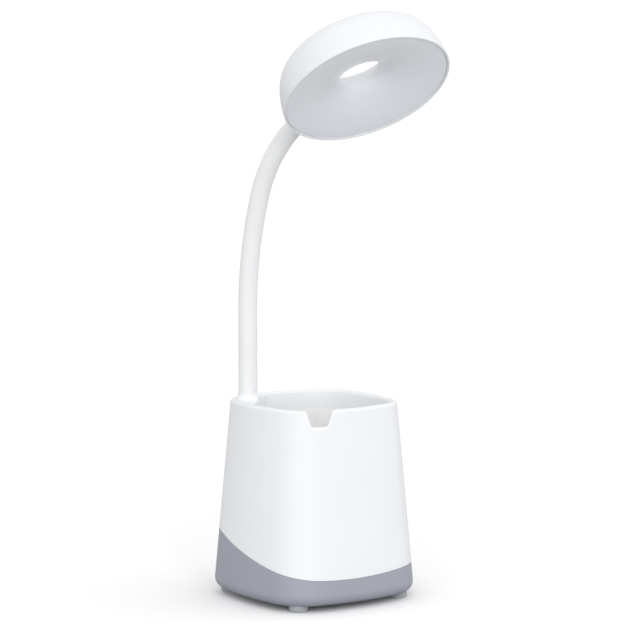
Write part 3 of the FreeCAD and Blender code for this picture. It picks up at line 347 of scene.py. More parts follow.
point = turn_round(shell, point, side_start + NOTCH_TOP_ROUND * Vector(
    (math.cos(side_lean), 0, -math.sin(side_lean))), (0, 1, 0), side_turn, NOTCH_CORNER_STEPS)
run_to(shell, point, (NOTCH_REGION, 0, POT_HEIGHT), NOTCH_RIM_STEPS)
bmesh.ops.mirror(shell, geom=list(shell.verts) + list(shell.edges), matrix=Matrix.Identity(4),
                 merge_dist=MERGE, axis="X")
path = sorted(shell.verts, key=lambda v: v.co.x)
spots = [v.co.copy() for v in path]
notch_heading = Vector((math.cos(NOTCH_BEARING), math.sin(NOTCH_BEARING), 0))
notch_across = Vector((-math.sin(NOTCH_BEARING), math.cos(NOTCH_BEARING), 0))
for k, v in enumerate(path):
    before = (spots[k] - spots[k - 1]).normalized() if k else Vector((1, 0, 0))
    after = (spots[k + 1] - spots[k]).normalized() if k + 1 < len(path) else Vector((1, 0, 0))
    along = (before + after).normalized()
    v[in_notch] = 1
    v[on_edge] = spots[k]
    v[into_wall] = (along.z, 0, -along.x)


def seat(point, skin, inset, offset=None, height=None):
    """Put a point of the shell on a skin: an offset from the rolled edge, or at a height."""
    if point[in_notch]:
        spot = point[on_edge] + point[into_wall] * (offset or 0)
        level = spot.z if height is None else point.co.z
        across = spot.x if height is None else point[on_edge].x
        heading = notch_heading
        point.co = notch_across * across + heading * POT_HALF_WIDTH
        point.co.z = level
    else:
        heading = outwards(point)
        if height is None:
            point.co.z = POT_HEIGHT - offset
    for _ in range(SEAT_ROUNDS):
        if height is not None:
            point.co.z = height(point.co) if callable(height) else height
        press(point, heading, skin, inset)


for v in path:
    seat(v, outer_skin, 0, offset=0)
start, end = path[-1], path[0]
sweep_angle = (math.atan2(end.co.y, end.co.x) - math.atan2(start.co.y, start.co.x)) % math.tau
turn_round(shell, start, (0, 0, POT_HEIGHT), (0, 0, 1), sweep_angle, ROUND_STEPS)
for v in set(shell.verts) - set(path):
    v[in_notch] = 0
    seat(v, outer_skin, 0, offset=0)
bmesh.ops.remove_doubles(shell, verts=shell.verts, dist=SHELL_MERGE)


def grow_ring(mesh, ring, *place, **levels):
    """Extrude a closed ring of edges and seat its new points."""
    grown = bmesh.ops.extrude_edge_only(mesh, edges=ring)["geom"]
    for new in grown:
        if isinstance(new, bmesh.types.BMVert):
            seat(new, *place, **levels)
    return [new for new in grown if isinstance(new, bmesh.types.BMEdge) and new.is_boundary]


def roll_edges(mesh, edges, size, steps):
    """Round off edges."""
    bmesh.ops.bevel(mesh, geom=edges, offset=size, segments=steps, profile=0.5, affect="EDGES", material=-1,
                    clamp_overlap=False)


def shell_parting(spot):
    """Height of the shell's lower edge, a hair above the parting line."""
    return parting_height(spot) + SEAM_GAP


first_ring = list(shell.edges)
for v in shell.verts:
    seat(v, outer_skin, 0, height=shell_parting)
ring = first_ring
for level in BAND_LEVELS:
    ring = grow_ring(shell, ring, outer_skin, 0, height=level)
ring = grow_ring(shell, ring, outer_skin, 0, offset=RIM_ROLL * RIM_APPROACH_SHARE)
roll_angles = [math.pi / 2 * k / RIM_ROLL_STEPS for k in range(RIM_ROLL_STEPS + 1)]
for angle in roll_angles:
    ring = grow_ring(shell, ring, outer_skin, RIM_ROLL * (1 - math.cos(angle)),
                     offset=RIM_ROLL * (1 - math.sin(angle)))
for angle in reversed(roll_angles):
    ring = grow_ring(shell, ring, mouth_skin, -RIM_ROLL * (1 - math.cos(angle)),
                     offset=RIM_ROLL * (1 - math.sin(angle)))
ring = grow_ring(shell, ring, mouth_skin, 0, height=BAND_BOTTOM)
ring = grow_ring(shell, ring, outer_skin, POT_WALL, height=BAND_BOTTOM)
ring = grow_ring(shell, ring, outer_skin, POT_WALL, height=shell_parting)
bmesh.ops.bridge_loops(shell, edges=first_ring + ring)
bmesh.ops.recalc_face_normals(shell, faces=shell.faces)
roll_edges(shell, first_ring, SEAM_ROLL, SEAM_ROLL_STEPS)
white_plastic = moulded("white_plastic", WHITE, 0.42, shine=0.4)
finish_piece(shell, "pot_outer_shell", white_plastic, "base", "white_shell", "pot_shell")

# Corner deck and column: part of the same moulding as the shell. The deck closes the back
# left corner of the mouth, and a flat wall below it shuts off the corner from the pens.
COLUMN_FACE = 0.0340
DECK_TOP = 0.1203
DECK_EDGE_ROLL = 0.0003
DECK_EDGE_STEPS = 3
DECK_OVERLAP = 0.0006
towards_neck = Vector((-1, 1, 0)).normalized()


def close_stack(mesh, rings):
    """Join rings in turn and close both ends."""
    for low, high in zip(rings, rings[1:]):
        bmesh.ops.bridge_loops(mesh, edges=edges_of(low) + edges_of(high))
    for end in (rings[0], rings[-1]):
        bmesh.ops.contextual_create(mesh, geom=edges_of(end))


def cut_off(mesh, reach):
    """Keep what lies beyond a plane square to the diagonal, and give back the cut's edges."""
    cut = bmesh.ops.bisect_plane(mesh, geom=list(mesh.verts) + list(mesh.edges) + list(mesh.faces),
                                 plane_co=towards_neck * reach, plane_no=towards_neck, clear_inner=True)
    return [item for item in cut["geom_cut"] if isinstance(item, bmesh.types.BMEdge)]


def corner_block(mesh, skin, inset, levels, reach):
    """Solid corner of the pot between two levels, beyond a plane square to the diagonal."""
    close_stack(mesh, [ring_on(mesh, skin, inset, level) for level in levels])
    bmesh.ops.contextual_create(mesh, geom=cut_off(mesh, reach))


deck = bmesh.new()
corner_block(deck, mouth_skin, -DECK_OVERLAP, (BAND_BOTTOM, DECK_TOP), COLUMN_FACE)
bmesh.ops.recalc_face_normals(deck, faces=deck.faces)
roll_edges(deck, [e for e in deck.edges if all(v.co.z > DECK_TOP - TOUCH for v in e.verts)
                  and all(v.co.dot(towards_neck) < COLUMN_FACE + TOUCH for v in e.verts)],
           DECK_EDGE_ROLL, DECK_EDGE_STEPS)
finish_piece(deck, "pot_corner_deck", white_plastic, "base", "white_shell")

# Skirt of the neck: the deck rises in a hollow curve to a round seat for the neck. Towards
# the pens it is cut off flush with the flat wall.
SKIRT_TOP = 0.1245
SKIRT_TOP_RADIUS = 0.0064
SKIRT_FLARE = SKIRT_TOP - DECK_TOP
SKIRT_SWEEP = math.radians(86)
SKIRT_STEPS = 8
SKIRT_SIDES = 64
SKIRT_MOUTH_ROLL = 0.0004
SKIRT_ROOT = DECK_TOP - DECK_EDGE_ROLL
NECK_REACH = 0.041226
SLEEVE_RADIUS = 0.00575
PLAY = 0.0001
neck_foot = towards_neck * NECK_REACH


def turn_solid(mesh, centre, axis, sides):
    """Turn an outline once round an axis into a closed body."""
    bmesh.ops.spin(mesh, geom=list(mesh.verts) + list(mesh.edges), cent=centre, axis=axis, dvec=(0, 0, 0),
                   angle=math.tau, steps=sides, use_merge=True)
    bmesh.ops.remove_doubles(mesh, verts=mesh.verts, dist=MERGE)


def skirt_spot(reach, height):
    """A point of the skirt's outline, from the neck's middle line."""
    return neck_foot + Vector((reach, 0, height))


skirt = bmesh.new()
point = skirt.verts.new(skirt_spot(SLEEVE_RADIUS + PLAY, SKIRT_ROOT))
point = run_to(skirt, point, skirt_spot(SLEEVE_RADIUS + PLAY, SKIRT_TOP - SKIRT_MOUTH_ROLL))
point = run_to(skirt, point, skirt_spot(SLEEVE_RADIUS + SKIRT_MOUTH_ROLL / 2, SKIRT_TOP))
point = run_to(skirt, point, skirt_spot(SKIRT_TOP_RADIUS, SKIRT_TOP - SKIRT_MOUTH_ROLL / 2))
point = turn_round(skirt, point, skirt_spot(SKIRT_TOP_RADIUS + SKIRT_FLARE, SKIRT_TOP - SKIRT_MOUTH_ROLL / 2),
                   (0, -1, 0), SKIRT_SWEEP, SKIRT_STEPS)
point = run_to(skirt, point, skirt_spot(SKIRT_TOP_RADIUS + SKIRT_FLARE, SKIRT_ROOT))
run_to(skirt, point, skirt.verts[:][0].co)
bmesh.ops.remove_doubles(skirt, verts=skirt.verts, dist=MERGE)
turn_solid(skirt, neck_foot, (0, 0, 1), SKIRT_SIDES)
cut_off(skirt, COLUMN_FACE + DECK_EDGE_ROLL)
bmesh.ops.holes_fill(skirt, edges=[e for e in skirt.edges if e.is_boundary], sides=0)
finish_piece(skirt, "neck_skirt", white_plastic, "base", "white_shell")

# Bosses and shelf inside the shell: four tubes take the screws that hold the grey tub, and
# a shelf in the neck's corner carries the nut of the neck.
SHELF_BOTTOM = 0.0457
SHELF_THICKNESS = 0.0030
SHELF_SETBACK = 0.0025
BOSS_RADIUS = 0.0036
BOSS_SIDES = 32
BOSS_FOOT = 0.0090
BOSS_TOP = SHELF_BOTTOM + SHELF_THICKNESS / 2
FOOT_REACH = 0.052207
CORNERS = (135, 225, 315, 45)


def corner_spot(bearing, height):
    """The middle of a corner's screw, boss and foot, at a height."""
    return Vector((FOOT_REACH * math.cos(math.radians(bearing)), FOOT_REACH * math.sin(math.radians(bearing)),
                   height))


def add_rod(mesh, radius, length, place, sides=64):
    """Add a closed round rod."""
    bmesh.ops.create_cone(mesh, cap_ends=True, segments=sides, radius1=radius, radius2=radius, depth=length,
                          matrix=place)


inner_works = bmesh.new()
for bearing in CORNERS:
    add_rod(inner_works, BOSS_RADIUS, BOSS_TOP - BOSS_FOOT,
            Matrix.Translation(corner_spot(bearing, (BOSS_FOOT + BOSS_TOP) / 2)), BOSS_SIDES)
shelf = bmesh.new()
corner_block(shelf, outer_skin, POT_WALL / 2, (SHELF_BOTTOM, SHELF_BOTTOM + SHELF_THICKNESS),
             COLUMN_FACE + SHELF_SETBACK)
shelf_mesh = bpy.data.meshes.new("shelf_form")
shelf.to_mesh(shelf_mesh)
shelf.free()
inner_works.from_mesh(shelf_mesh)
finish_piece(inner_works, "shell_bosses", white_plastic, "base", "white_shell")

# Cup liner: the inner wall and floor of the pen pot, a separate white tub that hangs in the
# mouth. It draws in a little towards its floor and is flat in front of the neck's corner.
LINER_FLOOR = 0.0482
LINER_BOTTOM = 0.0460
LINER_DRAFT = 0.00145
LINER_WALL = 0.0022
LINER_FLOOR_ROLL = 0.0025
LINER_ROLL_STEPS = 6
LINER_SIDES = 192
cup = bmesh.new()


def cup_ring(inset, height):
    """A level ring of the cup: the mouth's outline, cut off flat in front of the neck's corner."""
    ring = ring_on(cup, mouth_skin, inset, height, LINER_SIDES)
    for point in ring:
        over = point.co.dot(towards_neck) - COLUMN_FACE + inset
        if over > 0:
            heading = outwards(point)
            point.co -= heading * over / heading.dot(towards_neck)
    return ring


cup_rings = [cup_ring(LINER_DRAFT - LINER_WALL, LINER_BOTTOM), cup_ring(-LINER_WALL, BAND_BOTTOM),
             cup_ring(0, BAND_BOTTOM)]
for step in range(LINER_ROLL_STEPS + 1):
    angle = math.pi / 2 * step / LINER_ROLL_STEPS
    cup_rings.append(cup_ring(LINER_DRAFT + LINER_FLOOR_ROLL * (1 - math.cos(angle)),
                              LINER_FLOOR + LINER_FLOOR_ROLL * (1 - math.sin(angle))))
close_stack(cup, cup_rings)
# The liner's white is lighter than the shell's: painted light that brightens the shaded inside of the cup.
liner_plastic_painted_light = moulded("liner_plastic_painted_light", (0.87, 0.87, 0.865), 0.46)
finish_piece(cup, "pen_cup", liner_plastic_painted_light, "base", "white_liner", "cup_liner")

# Grey tub: the lower half of the base, satin grey plastic, held from below by four screws.
# Its top edge is one sweeping curve, its lower edge is well rounded, and in its back is an
# oval recess for the switch and the charging socket.
TUB_BOTTOM = 0.0035
TUB_FLOOR = 0.0060
TUB_WALL = 0.0038
TUB_MIDDLE = 0.0120
TUB_EDGE_ROLL = 0.0070
TUB_EDGE_STEPS = 10
TONGUE_INSET = 0.0024
TONGUE_RISE = 0.0025
PANEL_X = -0.0147
PANEL_Z = 0.019
PANEL_FACE = 0.0495
PANEL_LENGTH = 0.0334
PANEL_BREADTH = 0.012
PANEL_WALL = 0.0024
PANEL_RIM = 0.001
RECESS_OUT = 0.008
RECESS_IN = 0.0045
MOUTH_ROLL = 0.0006
MOUTH_ANGLES = (20, 40, 60, 80, 90)
MOUTH_FLARE_SHARE = 0.66
FOOT_RADIUS = 0.006
FOOT_HEIGHT = 0.0047
GREY = (0.33, 0.346, 0.40)


def tub_rings(mesh):
    """Wall of the tub from its outer lower edge to its floor, with a tongue inside the shell."""
    rings = [ring_on(mesh, outer_skin, 0, TUB_BOTTOM), ring_on(mesh, outer_skin, 0, TUB_MIDDLE)]
    for inset, lift in ((0, -SEAM_GAP), (TONGUE_INSET, -SEAM_GAP), (TONGUE_INSET, TONGUE_RISE),
                        (TUB_WALL, TONGUE_RISE)):
        ring = ring_on(mesh, outer_skin, inset, PARTING_LOW)
        seat_on_parting(ring, outer_skin, inset, lift)
        rings.append(ring)
    rings.append(ring_on(mesh, outer_skin, TUB_WALL, TUB_FLOOR))
    return rings


def facing_back(centre):
    """Where a flat ring goes that stands upright and faces the back of the lamp."""
    return Matrix.Translation(centre) @ Matrix.Rotation(math.pi / 2, 4, "X")


def obround(mesh, centre, half_length, radius, steps=48):
    """Flat oval ring in the plane of the back panel: a circle whose halves are moved apart."""
    half_step = Matrix.Rotation(math.pi / steps, 4, "Z")
    ring = bmesh.ops.create_circle(mesh, segments=steps, radius=radius,
                                   matrix=facing_back(centre) @ half_step)["verts"]
    for point in ring:
        point.co.x += math.copysign(half_length - radius, point.co.x - centre.x)
    return ring


def oval_of_panel(mesh, depth, widen):
    """Outline of the recess, out from the panel's face by a depth, and larger all round."""
    return obround(mesh, panel_centre + depth * back, PANEL_LENGTH / 2 + widen, PANEL_BREADTH / 2 + widen)


def as_form(mesh, name):
    """Make a form to carve, or to carve with, of a closed bmesh."""
    bmesh.ops.recalc_face_normals(mesh, faces=mesh.faces)
    form = bpy.data.objects.new(name, bpy.data.meshes.new(name))
    mesh.to_mesh(form.data)
    mesh.free()
    bpy.context.scene.collection.objects.link(form)
    return form


def carved(mesh, *tools):
    """Cut closed tool shapes out of a closed bmesh, one after the other."""
    form = as_form(mesh, "carved_form")
    for tool in tools:
        cutter = as_form(tool, "cutting_form")
        cut = form.modifiers.new("cut", "BOOLEAN")
        cut.operation = "DIFFERENCE"
        cut.solver = "EXACT"
        cut.object = cutter
        bpy.context.view_layer.update()
        shaped = form.evaluated_get(bpy.context.evaluated_depsgraph_get())
        rest = bpy.data.meshes.new_from_object(shaped)
        form.modifiers.clear()
        form.data = rest
        bpy.data.objects.remove(cutter)
    mesh = bmesh.new()
    mesh.from_mesh(form.data)
    bpy.data.objects.remove(form)
    return mesh


tub = bmesh.new()
rings = tub_rings(tub)
close_stack(tub, rings)
bmesh.ops.recalc_face_normals(tub, faces=tub.faces)
roll_edges(tub, edges_of(rings[0]), TUB_EDGE_ROLL, TUB_EDGE_STEPS)
roll_edges(tub, edges_of(rings[2]), SEAM_ROLL, SEAM_ROLL_STEPS)
panel_centre = Vector((PANEL_X, PANEL_FACE, PANEL_Z))
back = Vector((0, 1, 0))
recess = bmesh.new()
rings = [oval_of_panel(recess, RECESS_OUT, MOUTH_ROLL * MOUTH_FLARE_SHARE)]
for angle in map(math.radians, MOUTH_ANGLES):
    ring = oval_of_panel(recess, 0, MOUTH_ROLL * (1 - math.sin(angle)))
    for point in ring:
        press(point, back, outer_skin, MOUTH_ROLL * (1 - math.cos(angle)))
    rings.append(ring)
rings.append(oval_of_panel(recess, -RECESS_IN, 0))
close_stack(recess, rings)
pockets = bmesh.new()
for bearing in CORNERS:
    add_rod(pockets, FOOT_RADIUS + PLAY, FOOT_HEIGHT,
            Matrix.Translation(corner_spot(bearing, FOOT_HEIGHT / 2)))
tub = carved(tub, recess, pockets)
grey_plastic = moulded("grey_plastic", GREY, 0.44)
finish_piece(tub, "grey_tub", grey_plastic, "base", "grey_housing", "lower_housing", sharp=50)

# Back panel: the floor of the oval recess, moulded with the tub, with a round hole for the
# button and an oval slot for the charging socket.
BUTTON_X = -0.0075
BUTTON_HOLE_RADIUS = 0.0049
BUTTON_SIDES = 48
SOCKET_X = -0.0255
SLOT_HALF_LENGTH = 0.00457
SLOT_RADIUS = 0.00173
HOLE_EDGE_ROLL = 0.0002
HOLE_EDGE_STEPS = 2
panel = bmesh.new()
oval_of_panel(panel, 0, PANEL_RIM)
button_hole = bmesh.ops.create_circle(panel, segments=BUTTON_SIDES, radius=BUTTON_HOLE_RADIUS,
                                      matrix=facing_back((BUTTON_X, PANEL_FACE, PANEL_Z)))["verts"]
slot = obround(panel, Vector((SOCKET_X, PANEL_FACE, PANEL_Z)), SLOT_HALF_LENGTH, SLOT_RADIUS)
hole_edges = edges_of(button_hole) + edges_of(slot)
bmesh.ops.triangle_fill(panel, edges=list(panel.edges), use_beauty=True, use_dissolve=False)
in_holes = [f for f in panel.faces if any(all(v in hole for v in f.verts) for hole in (slot, button_hole))]
bmesh.ops.delete(panel, geom=in_holes, context="FACES_ONLY")
thick = bmesh.ops.extrude_face_region(panel, geom=list(panel.faces), use_keep_orig=True)["geom"]
bmesh.ops.translate(panel, verts=[v for v in thick if isinstance(v, bmesh.types.BMVert)],
                    vec=(0, -PANEL_WALL, 0))
bmesh.ops.recalc_face_normals(panel, faces=panel.faces)
roll_edges(panel, hole_edges, HOLE_EDGE_ROLL, HOLE_EDGE_STEPS)
finish_piece(panel, "switch_panel", grey_plastic, "base", "grey_housing")

# Feet: four short round pads of grey rubber with a softened lower edge. Each is glued into a
# shallow pocket under the tub and hides one of the screws that hold the tub.
FOOT_EDGE_ROLL = 0.0005
FOOT_EDGE_STEPS = 3
foot_rubber = moulded("foot_rubber", (0.36, 0.375, 0.40), 0.7, grain=0.0003, relief=0.00002)
for number, bearing in enumerate(CORNERS, start=1):
    pad = bmesh.new()
    add_rod(pad, FOOT_RADIUS, FOOT_HEIGHT, Matrix.Translation(corner_spot(bearing, FOOT_HEIGHT / 2)))
    lower = [e for e in pad.edges if all(v.co.z < TOUCH for v in e.verts)]
    roll_edges(pad, lower, FOOT_EDGE_ROLL, FOOT_EDGE_STEPS)
    finish_piece(pad, f"foot_pad_{number}", foot_rubber, "base", "foot_rubber", f"foot_{number}")

# Power button: a round grey push button, a little dished for the fingertip. A flange keeps
# it behind the panel, and a stem reaches the switch.
BUTTON_RADIUS = 0.0046
BUTTON_FRONT = 0.0511
BUTTON_EDGE = 0.0006
BUTTON_EDGE_STEPS = 5
BUTTON_FLAT = BUTTON_RADIUS - BUTTON_EDGE
BUTTON_DISH = 0.0003
DISH_SHARES = ((0.4, 0.9), (0.7, 0.55), (1, 0))
FLANGE_RADIUS = 0.0054
FLANGE_FRONT = 0.0468
FLANGE_BACK = 0.0458
STEM_RADIUS = 0.0020
STEM_END = 0.0440
button = bmesh.new()
point = button.verts.new((BUTTON_X, BUTTON_FRONT - BUTTON_DISH, PANEL_Z))
for reach, depth in DISH_SHARES:
    point = run_to(button, point,
                   (BUTTON_X + reach * BUTTON_FLAT, BUTTON_FRONT - depth * BUTTON_DISH, PANEL_Z))
point = turn_round(button, point, (BUTTON_X + BUTTON_FLAT, BUTTON_FRONT - BUTTON_EDGE, PANEL_Z),
                   (0, 0, -1), math.pi / 2, BUTTON_EDGE_STEPS)
for reach, depth in ((BUTTON_RADIUS, FLANGE_FRONT), (FLANGE_RADIUS, FLANGE_FRONT),
                     (FLANGE_RADIUS, FLANGE_BACK), (STEM_RADIUS, FLANGE_BACK), (STEM_RADIUS, STEM_END),
                     (0, STEM_END)):
    point = run_to(button, point, (BUTTON_X + reach, depth, PANEL_Z))
turn_solid(button, (BUTTON_X, 0, PANEL_Z), (0, 1, 0), BUTTON_SIDES)
button_plastic = moulded("button_plastic", (0.29, 0.305, 0.335), 0.38)
finish_piece(button, "push_button", button_plastic, "button", "button_grey", "power_button")

# Charging socket: a folded steel can with an oval mouth and a contact tongue of black
# plastic inside, soldered to the control board.
SOCKET_HALF_LENGTH = 0.00447
SOCKET_RADIUS = 0.00163
SOCKET_WALL = 0.0003
SOCKET_MOUTH = 0.0492
SOCKET_ROOT = 0.0394
SOCKET_FLOOR = 0.0409
CONTACT_HALF_WIDTH = 0.0033
CONTACT_HALF_THICKNESS = 0.00035
CONTACT_TIP = 0.0465
CONTACT_ROOT = SOCKET_FLOOR
CONTACT_OVERLAP = 0.0002
CONTACT_EDGE_ROLL = 0.0001
STREAK_SIZE = 1 / 900
STEEL_TONES = (0.85, 1)
STEEL_GLOSS = (-0.06, 0.1)


def rolled_steel(name, colour, roughness, streak):
    """Plain metal with fine rolling marks and a little uneven shine."""
    finish = bpy.data.materials.new(name)
    finish.use_nodes = True
    nodes, links = finish.node_tree.nodes, finish.node_tree.links
    nodes["Principled BSDF"].inputs["Metallic"].default_value = 1
    lay = nodes.new("ShaderNodeMapping")
    lay.inputs["Scale"].default_value = streak
    links.new(nodes.new("ShaderNodeTexCoord").outputs["Object"], lay.inputs["Vector"])
    marks = noise_on(finish, lay.outputs["Vector"], STREAK_SIZE, detail=4)
    vary(finish, colour, STEEL_TONES, roughness, STEEL_GLOSS, marks, marks, depth=0.3, relief=0.00001)
    return finish


socket = bmesh.new()
close_stack(socket, [
    obround(socket, Vector((SOCKET_X, depth, PANEL_Z)), SOCKET_HALF_LENGTH - inset, SOCKET_RADIUS - inset)
    for depth, inset in ((SOCKET_ROOT, 0), (SOCKET_MOUTH, 0), (SOCKET_MOUTH, SOCKET_WALL),
                         (SOCKET_FLOOR, SOCKET_WALL))
])
socket_steel = rolled_steel("socket_steel", (0.62, 0.62, 0.63), 0.3, (1, 0.1, 1))
finish_piece(socket, "socket_can", socket_steel, "base", "steel", "usb_socket")
tongue = bmesh.new()
tongue_middle = Vector((SOCKET_X, (CONTACT_TIP + CONTACT_ROOT) / 2, PANEL_Z))
tongue_size = (2 * CONTACT_HALF_WIDTH, CONTACT_TIP - CONTACT_ROOT + CONTACT_OVERLAP,
               2 * CONTACT_HALF_THICKNESS)
bmesh.ops.create_cube(tongue, size=1,
                      matrix=Matrix.Translation(tongue_middle) @ Matrix.Diagonal((*tongue_size, 1)))
roll_edges(tongue, tongue.edges[:], CONTACT_EDGE_ROLL, 1)
contact_black = moulded("contact_black", (0.02, 0.02, 0.022), 0.5)
finish_piece(tongue, "socket_tongue", contact_black, "base", "steel")

# Neck sleeve: a smooth white silicone tube over a steel gooseneck. It stands upright, then
# leans forward in a long bend and a tighter one. Each length of it covers one hinge.
NECK_STRAIGHT = 0.054
NECK_BENDS = ((0.270, math.radians(15.4)), (0.088, math.radians(38.7)))
NECK_LENGTH = NECK_STRAIGHT + sum(radius * turn for radius, turn in NECK_BENDS)
NECK_LEAN = math.radians(-72)
SLEEVE_BORE = 0.0044
SLEEVE_SIDES = 48
SLEEVE_STEPS = 16
SLEEVE_ROOT = -0.0019
SLEEVE_END = NECK_LENGTH + 0.0052
FIRST_HINGE = 0.015
LAST_HINGE = NECK_LENGTH - 0.011
LAST_HINGE_REACH = 0.0095
HINGES = 8


def neck_place(length):
    """Where the neck's centre line is, and how it is turned, at a length above the rim."""
    place = (Matrix.Translation(neck_foot + Vector((0, 0, POT_HEIGHT + min(length, NECK_STRAIGHT))))
             @ Matrix.Rotation(NECK_LEAN, 4, "Z"))
    rest = max(length - NECK_STRAIGHT, 0)
    for radius, turn in NECK_BENDS:
        step = min(rest, radius * turn)
        rest -= step
        place = (place @ Matrix.Translation((radius, 0, 0)) @ Matrix.Rotation(step / radius, 4, "Y")
                 @ Matrix.Translation((-radius, 0, 0)))
    return place @ Matrix.Translation((0, 0, rest))


def sleeve_length(low, high):
    """One closed length of the sleeve, hollow for the gooseneck."""
    tube = bmesh.new()
    rings = {}
    for radius in (SLEEVE_RADIUS, SLEEVE_BORE):
        for step in range(SLEEVE_STEPS + 1):
            ring = bmesh.ops.create_circle(tube, segments=SLEEVE_SIDES, radius=radius,
                                           matrix=neck_place(low + (high - low) * step / SLEEVE_STEPS))
            rings[radius, step] = edges_of(ring["verts"])
    order = ([(SLEEVE_RADIUS, step) for step in range(SLEEVE_STEPS + 1)]
             + [(SLEEVE_BORE, step) for step in reversed(range(SLEEVE_STEPS + 1))])
    for low_key, high_key in zip(order, order[1:] + order[:1]):
        bmesh.ops.bridge_loops(tube, edges=rings[low_key] + rings[high_key])
    return tube


silicone = moulded("white_silicone", (0.815, 0.82, 0.828), 0.32, grain=0.0008, relief=0.000006, shine=0.55)
hinges = [FIRST_HINGE + (LAST_HINGE - FIRST_HINGE) * k / (HINGES - 1) for k in range(HINGES)]
half_pitch = (hinges[1] - hinges[0]) / 2
for k, hinge in enumerate(hinges):
    low = hinge - half_pitch if k else SLEEVE_ROOT
    high = hinge + half_pitch if k < HINGES - 1 else SLEEVE_END
    reach = half_pitch if k < HINGES - 1 else LAST_HINGE_REACH
    length = finish_piece(sleeve_length(low, high), f"sleeve_{k + 1}", silicone, None, "white_sleeve",
                          f"neck_sleeve_{k}", *(["neck_sleeve_8"] if k == HINGES - 1 else []))
    length.modifiers.clear()
    neck_place(hinge - reach).translation
    neck_place(hinge + reach).translation
    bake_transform(length)

# Head: a ring-shaped shell of the same white plastic, domed on top, with a round hole that
# a finger fits through. A thin lip round its lower rim frames the light cover.
HEAD_RADIUS = 0.0517
HEAD_ROLL = math.radians(13.4)
HEAD_HEIGHT = 0.0285
HEAD_WALL = 0.0018
HEAD_LIP = 0.0013
HEAD_LIP_HEIGHT = 0.002
HEAD_LIP_ROLL = 0.0004
HEAD_LEDGE = 0.0042
HEAD_INSIDE_START = 0.0045
HEAD_SIDES = 128
HOLE_RADIUS = 0.0131
HOLE_TOP = 0.0165
HOLE_BOTTOM = 0.0128
HOLE_LIP_ROLL = 0.0003
NECK_IN_HEAD = 0.015
NECK_HOLE_DEPTH = 0.014
CORNER_ROUND_SHARE = 0.55
# shares of the way out from the hole and of the height, and where the surface faces in degrees
DOME_SHARES = ((1.0, 0.0702, 0), (0.992, 0.20, 4), (0.953, 0.49, 14), (0.883, 0.74, 30), (0.750, 0.92, 58),
               (0.542, 1.00, 90), (0.334, 0.95, 113), (0.155, 0.80, 135), (0.040, 0.66, 155),
               (0.0, 0.579, 178))
neck_end = neck_place(NECK_LENGTH)
along = neck_end.to_3x3() @ Vector((0, 0, 1))
side = neck_end.to_3x3() @ Vector((0, 1, 0))
top = along.cross(side) * math.cos(HEAD_ROLL) + side * math.sin(HEAD_ROLL)
middle = neck_end.translation + along * HEAD_RADIUS - top * NECK_IN_HEAD
head_place = Matrix((along, top.cross(along), top)).transposed().to_4x4()
head_place.translation = middle


def ring_reach(share):
    """Distance from the head's middle at a share of the way from the hole to the rim."""
    return HOLE_RADIUS + (HEAD_RADIUS - HOLE_RADIUS) * share


def dome_curve(inset, resolution=7):
    """Points of the dome from its rim to the hole, moved inwards square to its surface."""
    knots = []
    for reach, height, facing in DOME_SHARES:
        angle = math.radians(facing)
        square = Vector((math.cos(angle), 0, math.sin(angle)))
        spot = Vector((ring_reach(reach), 0, height * HEAD_HEIGHT)) - square * inset
        knots.append((spot, Vector((-square.z, 0, square.x))))
    points = [knots[0][0]]
    for (low, low_way), (high, high_way) in zip(knots, knots[1:]):
        pull = (high - low).length / 3
        points += interpolate_bezier(low, low + low_way * pull, high - high_way * pull, high, resolution)[1:]
    return points


def head_ring(points):
    """Turn a closed outline once round the head's middle."""
    mesh = bmesh.new()
    corners = [mesh.verts.new(point) for point in points]
    for pair in zip(corners, corners[1:] + corners[:1]):
        mesh.edges.new(pair)
    turn_solid(mesh, (0, 0, 0), (0, 0, 1), HEAD_SIDES)
    return mesh


def rolled_corner(corner, before, after, size, steps=3):
    """Points that round off one corner of an outline."""
    corner, before, after = Vector(corner), Vector(before), Vector(after)
    start = corner + (before - corner).normalized() * size
    end = corner + (after - corner).normalized() * size
    return list(interpolate_bezier(start, start.lerp(corner, CORNER_ROUND_SHARE),
                                   end.lerp(corner, CORNER_ROUND_SHARE), end, steps + 1))


MOUTH_RADIUS = HEAD_RADIUS - HEAD_LIP
rim_inside = Vector((MOUTH_RADIUS, 0, 0))
rim_outside = Vector((HEAD_RADIUS, 0, 0))
rim_rise = Vector((0, 0, HEAD_LIP_HEIGHT))
outer = dome_curve(0)
inner = [spot for spot in dome_curve(HEAD_WALL) if spot.z > HEAD_INSIDE_START]
dome_outline = (
    rolled_corner(rim_inside, rim_inside + rim_rise, rim_outside, HEAD_LIP_ROLL)
    + rolled_corner(rim_outside, rim_inside, rim_outside + rim_rise, HEAD_LIP_ROLL)
    + outer[:-1]
    + [Vector((HOLE_RADIUS, 0, HOLE_TOP))]
    + rolled_corner((HOLE_RADIUS, 0, HOLE_BOTTOM), (HOLE_RADIUS, 0, HOLE_TOP),
                    (HOLE_RADIUS + HEAD_WALL, 0, HOLE_BOTTOM), HOLE_LIP_ROLL)
    + [Vector((HOLE_RADIUS + HEAD_WALL, 0, HOLE_BOTTOM))]
    + inner[:-1][::-1]
    + [Vector((inner[0].x, 0, HEAD_LEDGE)), Vector((MOUTH_RADIUS, 0, HEAD_LEDGE))]
)
neck_hole = bmesh.new()
add_rod(neck_hole, SLEEVE_RADIUS + PLAY, NECK_HOLE_DEPTH,
        Matrix.Translation((-HEAD_RADIUS, 0, NECK_IN_HEAD)) @ Matrix.Rotation(math.pi / 2, 4, "Y"))
dome = carved(head_ring(dome_outline), neck_hole)
bmesh.ops.transform(dome, matrix=head_place, verts=dome.verts)
# The head's white is a little darker than the pot's white plastic: painted shade that tones down the brightly
# lit top of the head.
head_plastic_painted_shade = moulded("head_plastic_painted_shade", (0.788, 0.805, 0.828), 0.36, shine=0.4)
finish_piece(dome, "head_dome", head_plastic_painted_shade, "head", "white_shell", "head_shell")

